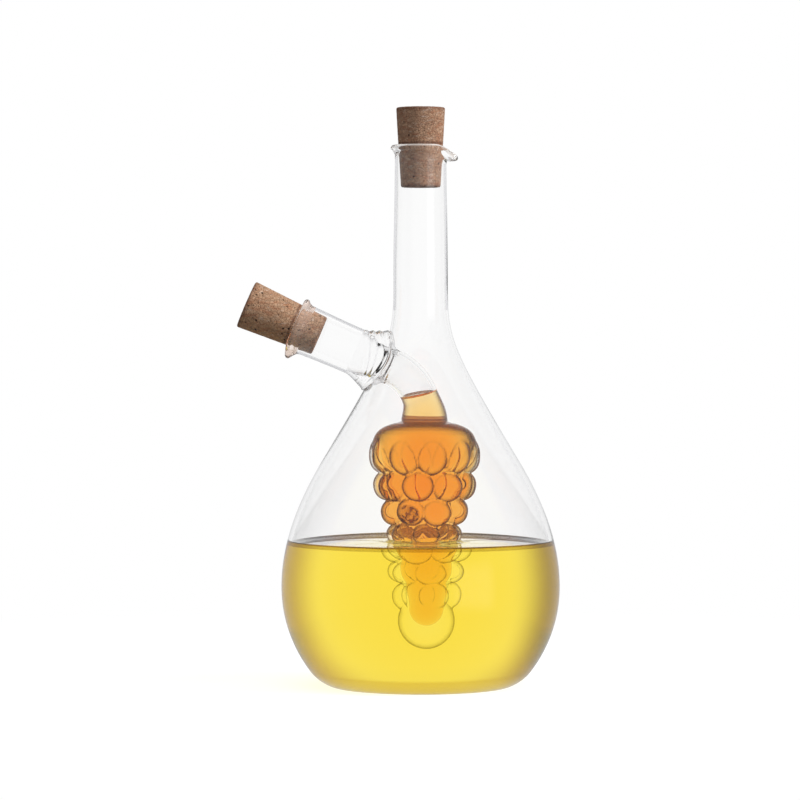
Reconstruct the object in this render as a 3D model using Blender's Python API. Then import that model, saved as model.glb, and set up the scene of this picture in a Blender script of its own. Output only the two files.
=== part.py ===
"""Oil and vinegar bottle: a blown flask for oil with a second vessel sealed inside it.

The vinegar vessel hangs in the oil like a bunch of grapes and is filled and poured
through its own slanted spout. A tapered cork closes each mouth.

Metres, +Z up. The origin is the centre of the flask's flat base, the spout points to -X.
"""

import math

import bmesh
import bpy
from mathutils import Matrix, Vector

# Fit between two pieces of glass that are fused on the real bottle
SEAM = 0.0003

# Flask
BELLY_RADIUS = 0.0500
BELLY_HEIGHT = 0.0360
BASE_RADIUS = 0.0335
HEEL_RISE = 0.0012
SHOULDER_RADIUS = 0.0354
SHOULDER_HEIGHT = 0.0811
SHOULDER_SLOPE = 0.60
BELLY_EASE = 0.0137
SHOULDER_EASE = 0.0168
NECK_SWEEP = 0.0450
NECK_FOOT_RADIUS = 0.0098
NECK_FOOT_HEIGHT = 0.1500
NECK_FOOT_EASE = 0.0245
NECK_TOP_RADIUS = 0.00925
MOUTH_HEIGHT = 0.1945
BASE_WALL = 0.0024
BELLY_WALL = 0.0016
NECK_WALL = 0.0009

# Rolled mouths and their pouring lips
RIM_RADIUS = 0.0009
RIM_OVERHANG_SHARE = 0.35
RIM_INNER_SHARE = 0.8
RIM_START = math.radians(-70)
RIM_END = math.radians(120)
LIP_REACH = 0.0027
LIP_DROP = 0.0036
LIP_DEPTH = 0.0070
LIP_SPREAD = math.radians(58)
SPOUT_LIP_REACH = 0.0016
SPOUT_LIP_DROP = 0.0012

# Corks
CORK_LENGTH = 0.0286
CORK_TOP_RADIUS = 0.00875
CORK_END_RADIUS = 0.00720
CORK_EDGE = 0.0005
NECK_CORK_DEPTH = 0.0152
SPOUT_CORK_DEPTH = 0.0099

# Spout
SPOUT_ANGLE = math.radians(23.5)
SPOUT_HEIGHT = 0.1168
SPOUT_RADIUS = 0.0085
SPOUT_MOUTH_RADIUS = 0.0089
SPOUT_WALL = 0.0009
SPOUT_REACH = 0.0330

# Seal between spout, flask wall and elbow
SEAL_LENGTH = 0.0090
SEAL_HUB_RADIUS = 0.0089
SEAL_HUB_DEPTH = 0.0052
SEAL_FLANGE_RADIUS = 0.0118
SEAL_FLANGE_SIDE_RADIUS = 0.0104
SEAL_FLANGE_EDGE = 0.0008
SEAL_WAIST = 0.0004
PLEATS = 9
PLEAT_DEPTH = 0.00045
PLEAT_TWIST = math.radians(24)
MINOR_PLEATS = 5
MINOR_PLEAT_SHARE = 0.4

# Elbow
ELBOW_RADIUS = 0.00655
ELBOW_FOOT_RADIUS = 0.0083
ELBOW_WALL = 0.0011
ELBOW_RUN = 0.0070
ELBOW_FALL = 0.0100
ELBOW_FLARE_SHARE = 0.34

# Vinegar vessel
VESSEL_OFFSET = 0.0014
VESSEL_TOP = 0.0952
VESSEL_WALL = 0.0012
CORE_SHOULDER_RADIUS = 0.0150
CORE_SHOULDER_HEIGHT = 0.0840
CORE_END_RADIUS = 0.0053
CORE_END_HEIGHT = 0.0305
CORE_SWELL = 0.0160
CORE_TAPER = 0.0170
CORE_CREST_SHARE = 0.55
TIP_RADIUS = 0.00695
TIP_HEIGHT = 0.0276
TIP_TOP = 0.0300

# Liquids
OIL_LEVEL = 0.0514
VINEGAR_LEVEL = 0.1045

# Facets around each kind of round piece
FLASK_SIDES = 36
SPOUT_SIDES = 24
ELBOW_SIDES = 18
CORE_SIDES = 24
CORK_SIDES = 24
OIL_SIDES = 36

SHARP_ANGLE = math.radians(40)


class GrapeRow:
    """One row of glass drops round the core: how many, where, and how large each one is."""

    def __init__(self, count, height, half_width, half_height, bulge, turn, sides):
        self.count = count
        self.height = height
        self.half_width = half_width
        self.half_height = half_height
        self.bulge = bulge
        self.turn = turn
        self.sides = sides


GRAPE_ROWS = (
    GrapeRow(10, 0.0839, 0.00520, 0.0069, 0.0052, math.radians(-27), 10),
    GrapeRow(8, 0.0721, 0.00545, 0.0047, 0.0051, math.radians(-10), 10),
    GrapeRow(8, 0.0629, 0.00500, 0.0043, 0.0049, math.radians(-24), 10),
    GrapeRow(7, 0.0547, 0.00470, 0.0035, 0.0045, math.radians(3), 8),
    GrapeRow(6, 0.0469, 0.00450, 0.0034, 0.0039, math.radians(-20), 8),
    GrapeRow(6, 0.0403, 0.00410, 0.0029, 0.0035, math.radians(10), 8),
    GrapeRow(4, 0.0339, 0.00400, 0.0032, 0.0033, math.radians(-70), 8),
)
GRAPE_WANDER = 0.0002
GRAPE_WANDER_STEP = 2.4
GRAPE_SEAT = math.radians(-46)
FRONT = math.radians(-90)


def clear_scene():
    """Empties the scene that the model is built in."""
    for thing in list(bpy.context.scene.objects):
        bpy.data.objects.remove(thing, do_unlink=True)


def material(name, colour, roughness, transmission=0.0, alpha=1.0):
    """Returns a Principled material for one piece."""
    made = bpy.data.materials.new(name)
    made.use_nodes = True
    shader = made.node_tree.nodes["Principled BSDF"]
    shader.inputs["Base Color"].default_value = (*colour, 1.0)
    shader.inputs["Roughness"].default_value = roughness
    shader.inputs["Metallic"].default_value = 0.0
    shader.inputs["Transmission Weight"].default_value = transmission
    shader.inputs["Alpha"].default_value = alpha
    made.diffuse_color = (*colour, alpha)
    return made


def glass(name):
    """Clear borosilicate glass."""
    return material(name, (0.95, 0.97, 0.97), 0.03, transmission=1.0, alpha=0.35)


def cork(name):
    """Pressed cork."""
    return material(name, (0.42, 0.27, 0.16), 0.85)


def blend(low, high, share):
    """Straight mix between two values or vectors."""
    return low + (high - low) * share


def ease(share):
    """Smooth step from 0 to 1."""
    share = min(1.0, max(0.0, share))
    return share * share * (3.0 - 2.0 * share)


def bezier(start, start_handle, end_handle, end, count):
    """Points of a cubic curve, both ends included."""
    points = []
    for step in range(count + 1):
        t = step / count
        point = (
            start * (1 - t) ** 3
            + start_handle * 3 * (1 - t) ** 2 * t
            + end_handle * 3 * (1 - t) * t ** 2
            + end * t ** 3
        )
        points.append(point)
    return points


def arc(centre, radius, first, last, count):
    """Points of an arc in the (radius, height) plane, angles measured from +radius."""
    points = []
    for step in range(count + 1):
        angle = blend(first, last, step / count)
        points.append(centre + radius * Vector((math.cos(angle), math.sin(angle))))
    return points


def offset(outline, distance):
    """Moves each point of an outline to its left by a distance, or by distance(point)."""
    moved = []
    for index, point in enumerate(outline):
        before = outline[max(index - 1, 0)]
        after = outline[min(index + 1, len(outline) - 1)]
        along = (after - before).normalized()
        amount = distance(point) if callable(distance) else distance
        moved.append(point + amount * Vector((-along.y, along.x)))
    return moved


def thinned(outline):
    """Every second point of an outline, with both of its ends."""
    return outline[:-1][::2] + outline[-1:]


def radius_at(outline, height):
    """Radius of an outline where it crosses a height."""
    for low, high in zip(outline, outline[1:]):
        if min(low.y, high.y) <= height <= max(low.y, high.y) and low.y != high.y:
            return blend(low.x, high.x, (height - low.y) / (high.y - low.y))
    nearest = min(outline, key=lambda point: abs(point.y - height))
    return nearest.x


def below(outline, height):
    """The rising outline up to a height, ending exactly there."""
    kept = [point for point in outline if point.y < height - 0.2 * SEAM]
    kept.append(Vector((radius_at(outline, height), height)))
    return kept


def ring(centre, across, up, radius, sides):
    """One ring of points; radius is a number or a function of the angle."""
    points = []
    for side in range(sides):
        angle = 2 * math.pi * side / sides
        reach = radius(angle) if callable(radius) else radius
        points.append(centre + reach * (math.cos(angle) * across + math.sin(angle) * up))
    return points


def turned_rings(outline, sides, centre=Vector((0, 0, 0))):
    """Rings round +Z for the points of an outline; a point on the axis becomes a pole."""
    rings = []
    for point in outline:
        middle = centre + Vector((0, 0, point.y))
        if point.x < 1e-7:
            rings.append([middle])
        else:
            rings.append(ring(middle, Vector((1, 0, 0)), Vector((0, 1, 0)), point.x, sides))
    return rings


def loft(name, rings, closed=False):
    """Skins a row of rings. A ring of one point is a pole; closed joins last to first."""
    mesh = bpy.data.meshes.new(name)
    shape = bmesh.new()
    rows = [[shape.verts.new(point) for point in points] for points in rings]
    pairs = list(zip(rows, rows[1:]))
    if closed:
        pairs.append((rows[-1], rows[0]))
    for near, far in pairs:
        sides = max(len(near), len(far))
        for side in range(sides):
            after = (side + 1) % sides
            if len(near) == 1:
                shape.faces.new((near[0], far[after], far[side]))
            elif len(far) == 1:
                shape.faces.new((near[side], near[after], far[0]))
            else:
                shape.faces.new((near[side], near[after], far[after], far[side]))
    if not closed:
        for end in (rows[0], rows[-1]):
            if len(end) > 1:
                shape.faces.new(end)
    bmesh.ops.recalc_face_normals(shape, faces=shape.faces)
    shape.to_mesh(mesh)
    shape.free()
    mesh.shade_smooth()
    mesh.set_sharp_from_angle(angle=SHARP_ANGLE)
    return mesh


def place(name, mesh, finish=None, parent=None, matrix=None):
    """Adds a piece to the scene."""
    piece = bpy.data.objects.new(name, mesh)
    bpy.context.scene.collection.objects.link(piece)
    if finish is not None:
        mesh.materials.append(finish)
    if parent is not None:
        piece.parent = parent
    if matrix is not None:
        piece.matrix_local = matrix
    return piece


def guide(name, mesh, group, matrix=None):
    """Adds a cutter, which isn't a piece of the bottle."""
    cutter = place(name, mesh, matrix=matrix)
    cutter.hide_render = True
    cutter.display_type = "WIRE"
    bpy.context.scene.collection.objects.unlink(cutter)
    group.objects.link(cutter)
    return cutter


def cutters(name):
    """A collection of guides for one Boolean."""
    group = bpy.data.collections.new(name)
    bpy.context.scene.collection.children.link(group)
    return group


def cut(piece, group):
    """Takes every guide of a collection out of a piece."""
    step = piece.modifiers.new("cut", "BOOLEAN")
    step.operation = "DIFFERENCE"
    step.solver = "EXACT"
    step.operand_type = "COLLECTION"
    step.collection = group


def pull_lip(rings, mouth, reach, drop):
    """Draws the rim out and down on the +X side of a mouth, as a hot tool does."""
    for points in rings:
        for point in points:
            depth = mouth - point.z
            height_share = ease(1.0 - depth / LIP_DEPTH)
            away = abs(math.atan2(point.y, point.x))
            side_share = ease(1.0 - away / LIP_SPREAD)
            across = Vector((point.x, point.y, 0)).normalized() if len(points) > 1 else Vector()
            point += across * reach * height_share ** 2 * side_share
            point.z -= drop * height_share ** 2 * side_share
    return rings


def rolled_rim(outer_radius, wall, mouth):
    """Outline over the top of a mouth, from its outer wall to its inner wall."""
    centre = Vector((outer_radius + RIM_OVERHANG_SHARE * RIM_RADIUS, mouth - RIM_RADIUS))
    roll = arc(centre, RIM_RADIUS, RIM_START, RIM_END, 5)
    return roll + [Vector((outer_radius - wall, mouth - RIM_INNER_SHARE * RIM_RADIUS))]


def flask_outline():
    """Outer outline of the flask, from the edge of its base up to the neck's top."""
    belly = Vector((BELLY_RADIUS, BELLY_HEIGHT))
    middle = Vector((0, BELLY_HEIGHT))
    heel_rise = HEEL_RISE - BELLY_HEIGHT
    heel_angle = math.asin(heel_rise / BELLY_RADIUS)
    outline = [Vector((BASE_RADIUS, 0))]
    outline += arc(middle, BELLY_RADIUS, heel_angle, 0.0, 6)
    shoulder = Vector((SHOULDER_RADIUS, SHOULDER_HEIGHT))
    leaning = Vector((-SHOULDER_SLOPE, 1))
    upper = bezier(
        belly,
        belly + Vector((0, BELLY_EASE)),
        shoulder - SHOULDER_EASE * leaning,
        shoulder,
        6,
    )
    neck_foot = Vector((NECK_FOOT_RADIUS, NECK_FOOT_HEIGHT))
    sweep = bezier(
        shoulder,
        shoulder + NECK_SWEEP * leaning,
        neck_foot - Vector((0, NECK_FOOT_EASE)),
        neck_foot,
        8,
    )
    mid_neck = Vector((0.5 * (NECK_FOOT_RADIUS + NECK_TOP_RADIUS), 0.5 * (NECK_FOOT_HEIGHT + MOUTH_HEIGHT)))
    lip_foot = Vector((NECK_TOP_RADIUS, MOUTH_HEIGHT - LIP_DEPTH))
    under_rim = Vector((NECK_TOP_RADIUS, MOUTH_HEIGHT - 0.5 * LIP_DEPTH))
    return outline + upper[1:] + sweep[1:] + [mid_neck, lip_foot, under_rim]


def flask_wall(point):
    """Wall thickness of the flask at a point of its outline."""
    share = ease((point.y - BELLY_HEIGHT) / (NECK_FOOT_HEIGHT - BELLY_HEIGHT))
    return blend(BELLY_WALL, NECK_WALL, share)


def flask_lining():
    """Inner outline of the flask, from the centre of its floor up to the neck's top."""
    lining = thinned(offset(flask_outline()[1:], flask_wall))
    floor_radius = BASE_RADIUS - BELLY_WALL
    floor = [Vector((0, BASE_WALL)), Vector((floor_radius, BASE_WALL))]
    return floor + [point for point in lining if point.y > BASE_WALL + BELLY_WALL]


def spout_matrix():
    """Frame of the spout: origin where its axis leaves the flask's wall, +Z outwards, +X on the low side."""
    root = Vector((-radius_at(flask_outline(), SPOUT_HEIGHT), 0, SPOUT_HEIGHT))
    outwards = Vector((-math.cos(SPOUT_ANGLE), 0, math.sin(SPOUT_ANGLE)))
    lower = Vector((-math.sin(SPOUT_ANGLE), 0, -math.cos(SPOUT_ANGLE)))
    side = outwards.cross(lower)
    turn = Matrix((lower, side, outwards)).transposed().to_4x4()
    return Matrix.Translation(root) @ turn


def build_flask(parent):
    """The outer bottle, with the hole that the spout's seal fills."""
    outer = flask_outline()
    lining = flask_lining()
    rim = rolled_rim(NECK_TOP_RADIUS, NECK_WALL, MOUTH_HEIGHT)
    outline = [Vector((0, 0))] + outer + rim + lining[::-1]
    rings = pull_lip(turned_rings(outline, FLASK_SIDES), MOUTH_HEIGHT, LIP_REACH, LIP_DROP)
    piece = place("flask", loft("flask", rings), glass("flask glass"), parent)
    group = cutters("flask cutters")
    hole_radius = SEAL_HUB_RADIUS + SEAM
    hole = [Vector((hole_radius, -SEAL_FLANGE_RADIUS)), Vector((hole_radius, SEAL_LENGTH))]
    guide("spout hole", loft("spout hole", turned_rings(hole, SPOUT_SIDES)), group, spout_matrix())
    cut(piece, group)
    return piece


def wall_depth(across, side):
    """Height along the spout's axis of the flask's outer wall, at an offset from that axis."""
    outline = flask_outline()
    matrix = spout_matrix()
    low = -BELLY_RADIUS
    high = BELLY_RADIUS
    for _ in range(40):
        middle = 0.5 * (low + high)
        point = matrix @ Vector((across, side, middle))
        outside = math.hypot(point.x, point.y) > radius_at(outline, point.z)
        if outside and point.x < 0:
            high = middle
        else:
            low = middle
    return high


def seal_ring(radius, height, sides, waviness=0.0, twist=0.0, on_wall=None):
    """A ring of the seal in the spout's frame; on_wall lifts it off the flask's wall instead."""
    points = []
    for side in range(sides):
        angle = 2 * math.pi * side / sides
        reach = radius(angle) if callable(radius) else radius
        wave = math.cos(PLEATS * angle + twist) + MINOR_PLEAT_SHARE * math.sin(MINOR_PLEATS * angle)
        reach += waviness * wave
        across = reach * math.cos(angle)
        beside = reach * math.sin(angle)
        lift = height if on_wall is None else wall_depth(across, beside) + on_wall
        points.append(Vector((across, beside, lift)))
    return points


def flange_radius(angle):
    """Outer radius of the seal's flange: long along the flask's height, narrower across it."""
    along = SEAL_FLANGE_RADIUS * math.cos(angle)
    beside = SEAL_FLANGE_SIDE_RADIUS * math.sin(angle)
    return math.hypot(along, beside)


def build_seal(parent):
    """The pleated ring of fused glass round the foot of the spout."""
    sides = 4 * PLEATS
    bore = SPOUT_RADIUS - SPOUT_WALL
    elbow_bore = ELBOW_RADIUS - ELBOW_WALL
    end_radius = SPOUT_RADIUS + SEAL_WAIST

    def flare(share):
        return lambda angle: blend(flange_radius(angle), end_radius, share)

    rings = [
        seal_ring(SEAL_HUB_RADIUS, -SEAL_HUB_DEPTH, sides),
        seal_ring(SEAL_HUB_RADIUS, 0, sides, on_wall=SEAM),
        seal_ring(flange_radius, 0, sides, on_wall=SEAM),
        seal_ring(flare(0.10), 0, sides, 0.5 * PLEAT_DEPTH, on_wall=SEAM + SEAL_FLANGE_EDGE),
        seal_ring(flare(0.62), 0.36 * SEAL_LENGTH, sides, PLEAT_DEPTH, 0.4 * PLEAT_TWIST),
        seal_ring(flare(0.90), 0.66 * SEAL_LENGTH, sides, PLEAT_DEPTH, PLEAT_TWIST),
        seal_ring(end_radius, SEAL_LENGTH - SEAL_WAIST, sides, 0.4 * PLEAT_DEPTH, PLEAT_TWIST),
        seal_ring(SPOUT_RADIUS, SEAL_LENGTH, sides),
        seal_ring(bore, SEAL_LENGTH, sides),
        seal_ring(bore, 0.5 * SEAL_LENGTH, sides),
        seal_ring(elbow_bore, -0.35 * SEAL_HUB_DEPTH, sides),
        seal_ring(elbow_bore, -SEAL_HUB_DEPTH, sides),
    ]
    mesh = loft("spout_seal", rings, closed=True)
    return place("spout_seal", mesh, glass("seal glass"), parent, spout_matrix())


def build_spout(parent):
    """The slanted tube with its rolled mouth and pouring lip."""
    foot = SEAL_LENGTH + SEAM
    outer = [
        Vector((SPOUT_RADIUS, foot)),
        Vector((SPOUT_RADIUS, blend(foot, SPOUT_REACH, 0.35))),
        Vector((SPOUT_MOUTH_RADIUS, SPOUT_REACH - LIP_DEPTH)),
        Vector((SPOUT_MOUTH_RADIUS, SPOUT_REACH - 0.5 * LIP_DEPTH)),
    ]
    rim = rolled_rim(SPOUT_MOUTH_RADIUS, SPOUT_WALL, SPOUT_REACH)
    lining = [point - Vector((SPOUT_WALL, 0)) for point in reversed(outer)]
    rings = turned_rings(outer + rim + lining, SPOUT_SIDES)
    pull_lip(rings, SPOUT_REACH, SPOUT_LIP_REACH, SPOUT_LIP_DROP)
    mesh = loft("spout_tube", rings, closed=True)
    return place("spout_tube", mesh, glass("spout glass"), parent, spout_matrix())


def elbow_path():
    """Centre line of the elbow, from the seal to the vessel, as points and directions."""
    matrix = spout_matrix()
    outwards = (matrix.to_3x3() @ Vector((0, 0, 1))).normalized()
    start = matrix @ Vector((0, 0, -SEAL_HUB_DEPTH - SEAM))
    end = Vector((VESSEL_OFFSET, 0, VESSEL_TOP + SEAM))
    points = bezier(
        start,
        start - ELBOW_RUN * outwards,
        end + Vector((0, 0, ELBOW_FALL)),
        end,
        9,
    )
    path = []
    for index, point in enumerate(points):
        before = points[max(index - 1, 0)]
        after = points[min(index + 1, len(points) - 1)]
        path.append((point, (after - before).normalized()))
    path[0] = (start, -outwards)
    path[-1] = (end, Vector((0, 0, -1)))
    return path


def elbow_radius(share):
    """Outer radius along the elbow: it flares where it meets the vessel."""
    flare = ease((share - 1 + ELBOW_FLARE_SHARE) / ELBOW_FLARE_SHARE)
    return blend(ELBOW_RADIUS, ELBOW_FOOT_RADIUS, flare)


def elbow_rings(path, inset):
    """Rings along the elbow, inset from its outer wall."""
    rings = []
    beside = Vector((0, 1, 0))
    for index, (point, direction) in enumerate(path):
        share = index / (len(path) - 1)
        across = direction.cross(beside)
        rings.append(ring(point, across, beside, elbow_radius(share) - inset, ELBOW_SIDES))
    return rings


def build_elbow(parent):
    """The bent tube from the seal down to the inner vessel."""
    path = elbow_path()
    rings = elbow_rings(path, 0.0) + elbow_rings(path, ELBOW_WALL)[::-1]
    return place("vinegar_elbow", loft("vinegar_elbow", rings, closed=True), glass("elbow glass"), parent)


def core_outline():
    """Outer outline of the vinegar vessel's core, from its closed end up to its open top."""
    end_centre = Vector((0, CORE_END_HEIGHT))
    end = Vector((CORE_END_RADIUS, CORE_END_HEIGHT))
    shoulder = Vector((CORE_SHOULDER_RADIUS, CORE_SHOULDER_HEIGHT))
    mouth = Vector((ELBOW_FOOT_RADIUS, VESSEL_TOP))
    outline = arc(end_centre, CORE_END_RADIUS, math.radians(-90), 0.0, 3)
    outline += bezier(
        end,
        end + Vector((0, CORE_TAPER)),
        shoulder - Vector((0, CORE_SWELL)),
        shoulder,
        7,
    )[1:]
    crest = CORE_CREST_SHARE * (VESSEL_TOP - CORE_SHOULDER_HEIGHT)
    inward = 0.5 * (ELBOW_FOOT_RADIUS - CORE_SHOULDER_RADIUS)
    outline += bezier(
        shoulder,
        shoulder + Vector((0, crest)),
        mouth - Vector((inward, 0.12 * crest)),
        mouth,
        4,
    )[1:]
    return outline


def core_lining(gap=0.0):
    """Inner outline of the vessel's core, or of a liquid that lies a gap inside it."""
    inset = VESSEL_WALL + gap
    lining = [point for point in offset(core_outline(), inset) if point.x > inset]
    top = Vector((ELBOW_FOOT_RADIUS - ELBOW_WALL - gap, VESSEL_TOP))
    bottom = Vector((0, CORE_END_HEIGHT - CORE_END_RADIUS + inset))
    return [bottom] + [point for point in lining if bottom.y < point.y < VESSEL_TOP - VESSEL_WALL] + [top]


def build_vessel(parent):
    """The smooth blown core of the inner vessel."""
    outline = core_outline() + core_lining()[::-1]
    rings = turned_rings(outline, CORE_SIDES, Vector((VESSEL_OFFSET, 0, 0)))
    return place("vinegar_vessel", loft("vinegar_vessel", rings), glass("vessel glass"), parent)


def along(outline, height, distance):
    """Point and outward direction on an outline, at a distance along it from a height."""
    lengths = [0.0]
    for low, high in zip(outline, outline[1:]):
        lengths.append(lengths[-1] + (high - low).length)
    start = 0.0
    for index, (low, high) in enumerate(zip(outline, outline[1:])):
        if low.y <= height <= high.y:
            share = (height - low.y) / (high.y - low.y)
            start = blend(lengths[index], lengths[index + 1], share)
            break
    wanted = min(max(start + distance, 0.0), lengths[-1])
    index = max(at for at in range(len(outline) - 1) if lengths[at] <= wanted)
    share = (wanted - lengths[index]) / (lengths[index + 1] - lengths[index])
    outwards = [point - inner for point, inner in zip(outline, offset(outline, SEAM))]
    direction = blend(outwards[index], outwards[index + 1], share).normalized()
    return blend(outline[index], outline[index + 1], share), direction


def grape_rings(row, place_index, growth=0.0, sink=0.0):
    """Rings of one drop, wrapped on to the core so that its foot follows the glass below it.

    A cutter is the drop grown all round, with its foot sunk through the core's wall.
    """
    outline = core_outline()
    middle = row.height + GRAPE_WANDER * math.sin(GRAPE_WANDER_STEP * place_index + row.count)
    heading = FRONT + row.turn + 2 * math.pi * place_index / row.count
    low = math.sin(GRAPE_SEAT)
    widest = -low / (1 - low) * row.bulge
    reach = radius_at(outline, middle) + widest
    levels = 5 if row.sides > 8 else 4
    tilts = [blend(GRAPE_SEAT, math.radians(90), level / levels) for level in range(levels + 1)]

    def spot(sideways, upright, lift):
        base, direction = along(outline, middle, upright)
        turn = heading + sideways / reach
        radius = base.x + lift * direction.x
        height = base.y + lift * direction.y
        return Vector((VESSEL_OFFSET + radius * math.cos(turn), radius * math.sin(turn), height))

    def oval(tilt, lift):
        wide = (row.half_width + growth) * math.cos(tilt)
        tall = (row.half_height + growth) * math.cos(tilt)
        angles = [2 * math.pi * side / row.sides for side in range(row.sides)]
        return [spot(wide * math.cos(angle), tall * math.sin(angle), lift) for angle in angles]

    crown = SEAM + row.bulge + growth
    rings = [[spot(0.0, 0.0, SEAM - sink)]]
    if sink > 0.0:
        rings.append(oval(GRAPE_SEAT, SEAM - sink))
    for tilt in tilts[:-1]:
        rings.append(oval(tilt, blend(SEAM, crown, (math.sin(tilt) - low) / (1 - low))))
    rings.append([spot(0.0, 0.0, crown)])
    return rings


def build_grapes(parent):
    """Every drop of the bunch, each melted on to the core by itself."""
    finish = glass("drop glass")
    for number, row in enumerate(GRAPE_ROWS, start=1):
        for index in range(row.count):
            name = f"grape_{number}_{index + 1}"
            place(name, loft(name, grape_rings(row, index)), finish, parent)


def tip_outline(growth=0.0):
    """Outer outline of the solid drop at the end of the bunch, from its pole to its top edge."""
    centre = Vector((0, TIP_HEIGHT))
    edge = math.asin((TIP_TOP - TIP_HEIGHT) / TIP_RADIUS)
    return arc(centre, TIP_RADIUS + growth, math.radians(-90), edge, 6)


def build_tip(parent):
    """The large drop that closes the bunch, with a seat for the end of the core."""
    outer = tip_outline()
    seat = [point for point in offset(core_outline(), -SEAM) if point.y < TIP_TOP and point.x > SEAM]
    bottom = Vector((0, CORE_END_HEIGHT - CORE_END_RADIUS - SEAM))
    edge = Vector((radius_at(core_outline(), TIP_TOP) + SEAM, TIP_TOP))
    rings = turned_rings(outer + [edge] + seat[::-1] + [bottom], CORE_SIDES, Vector((VESSEL_OFFSET, 0, 0)))
    return place("tip_drop", loft("tip_drop", rings), glass("tip glass"), parent)


def build_oil(parent):
    """The oil in the belly, with the space that the dipped end of the bunch takes up."""
    wetted = [point for point in offset(flask_lining()[1:], SEAM) if point.y < OIL_LEVEL]
    floor = BASE_WALL + SEAM
    surface = Vector((radius_at(flask_lining(), OIL_LEVEL) - SEAM, OIL_LEVEL))
    outline = [Vector((0, floor)), Vector((wetted[0].x, floor))]
    outline += [point for point in wetted[1:] if point.y > floor + SEAM] + [surface, Vector((0, OIL_LEVEL))]
    finish = material("oil", (0.93, 0.74, 0.08), 0.05, transmission=0.9, alpha=0.75)
    piece = place("oil", loft("oil", turned_rings(outline, OIL_SIDES)), finish, parent)
    group = cutters("oil cutters")
    middle = Vector((VESSEL_OFFSET, 0, 0))
    core = [point for point in offset(core_outline(), -SEAM) if point.x > SEAM]
    top = OIL_LEVEL + BELLY_WALL
    core_cut = [Vector((0, core[0].y))] + below(core, top) + [Vector((0, top))]
    guide("core space", loft("core space", turned_rings(core_cut, ELBOW_SIDES, middle)), group)
    tip_cut = tip_outline(SEAM) + [Vector((0, TIP_TOP + SEAM))]
    guide("tip space", loft("tip space", turned_rings(tip_cut, ELBOW_SIDES, middle)), group)
    for number, row in enumerate(GRAPE_ROWS, start=1):
        if row.height - row.half_height > OIL_LEVEL + SEAM:
            continue
        for index in range(row.count):
            name = f"grape space {number} {index + 1}"
            guide(name, loft(name, grape_rings(row, index, SEAM, VESSEL_WALL)), group)
    cut(piece, group)
    return piece


def level_off(mesh, height):
    """Cuts a mesh flat at a height and keeps what lies below it."""
    shape = bmesh.new()
    shape.from_mesh(mesh)
    everything = shape.verts[:] + shape.edges[:] + shape.faces[:]
    level = Vector((0, 0, height))
    upwards = Vector((0, 0, 1))
    bmesh.ops.bisect_plane(shape, geom=everything, plane_co=level, plane_no=upwards, clear_outer=True)
    rim = [edge for edge in shape.edges if edge.is_boundary]
    bmesh.ops.contextual_create(shape, geom=rim)
    bmesh.ops.recalc_face_normals(shape, faces=shape.faces)
    shape.to_mesh(mesh)
    shape.free()
    mesh.set_sharp_from_angle(angle=SHARP_ANGLE)
    return mesh


def build_vinegar(parent):
    """The vinegar in the core and in the foot of the elbow, level at its top."""
    path = elbow_path()
    column = elbow_rings(path, ELBOW_WALL + SEAM)
    reached = [at for at, (point, _) in enumerate(path) if point.z < VINEGAR_LEVEL + ELBOW_FOOT_RADIUS]
    rings = turned_rings(core_lining(SEAM), ELBOW_SIDES, Vector((VESSEL_OFFSET, 0, 0)))
    rings += [column[at] for at in reversed(reached)]
    mesh = level_off(loft("vinegar", rings), VINEGAR_LEVEL)
    finish = material("vinegar", (0.86, 0.36, 0.03), 0.05, transmission=0.9, alpha=0.75)
    return place("vinegar", mesh, finish, parent)


def cork_mesh(name):
    """A tapered cork: its large end is at +Z, its small end at 0."""
    outline = [
        Vector((0, 0)),
        Vector((CORK_END_RADIUS - CORK_EDGE, 0)),
        Vector((CORK_END_RADIUS, CORK_EDGE)),
        Vector((CORK_TOP_RADIUS, CORK_LENGTH - CORK_EDGE)),
        Vector((CORK_TOP_RADIUS - CORK_EDGE, CORK_LENGTH)),
        Vector((0, CORK_LENGTH)),
    ]
    return loft(name, turned_rings(outline, CORK_SIDES))


def build_corks(parent):
    """Both corks, each with its origin on the axis that it is pulled along."""
    neck_seat = Matrix.Translation((0, 0, MOUTH_HEIGHT - NECK_CORK_DEPTH))
    place("neck_cork", cork_mesh("neck_cork"), cork("neck cork"), parent, neck_seat)
    spout_seat = spout_matrix() @ Matrix.Translation((0, 0, SPOUT_REACH - SPOUT_CORK_DEPTH))
    place("spout_cork", cork_mesh("spout_cork"), cork("spout cork"), parent, spout_seat)


def main():
    """Builds the bottle."""
    clear_scene()
    bottle = place("bottle", None)
    build_flask(bottle)
    build_seal(bottle)
    build_spout(bottle)
    build_elbow(bottle)
    build_vessel(bottle)
    build_grapes(bottle)
    build_tip(bottle)
    build_oil(bottle)
    build_vinegar(bottle)
    build_corks(bottle)


main()
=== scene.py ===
"""Looks of the oil and vinegar bottle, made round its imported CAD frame.

A blown flask holds oil. A second vessel, shaped like a bunch of grapes, hangs in it, holds vinegar
and is filled through its own slanted spout. Each mouth is closed with a pressed cork.

Metres, +Z up, in the frame of the CAD model: the origin is the middle of the flask's base, and the
spout points to -X.
"""

import logging
import math
from dataclasses import dataclass, field, replace
from enum import IntEnum
from typing import Callable, ClassVar, Sequence

import bpy
import numpy as np
from mathutils import Matrix, Vector, noise


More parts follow.
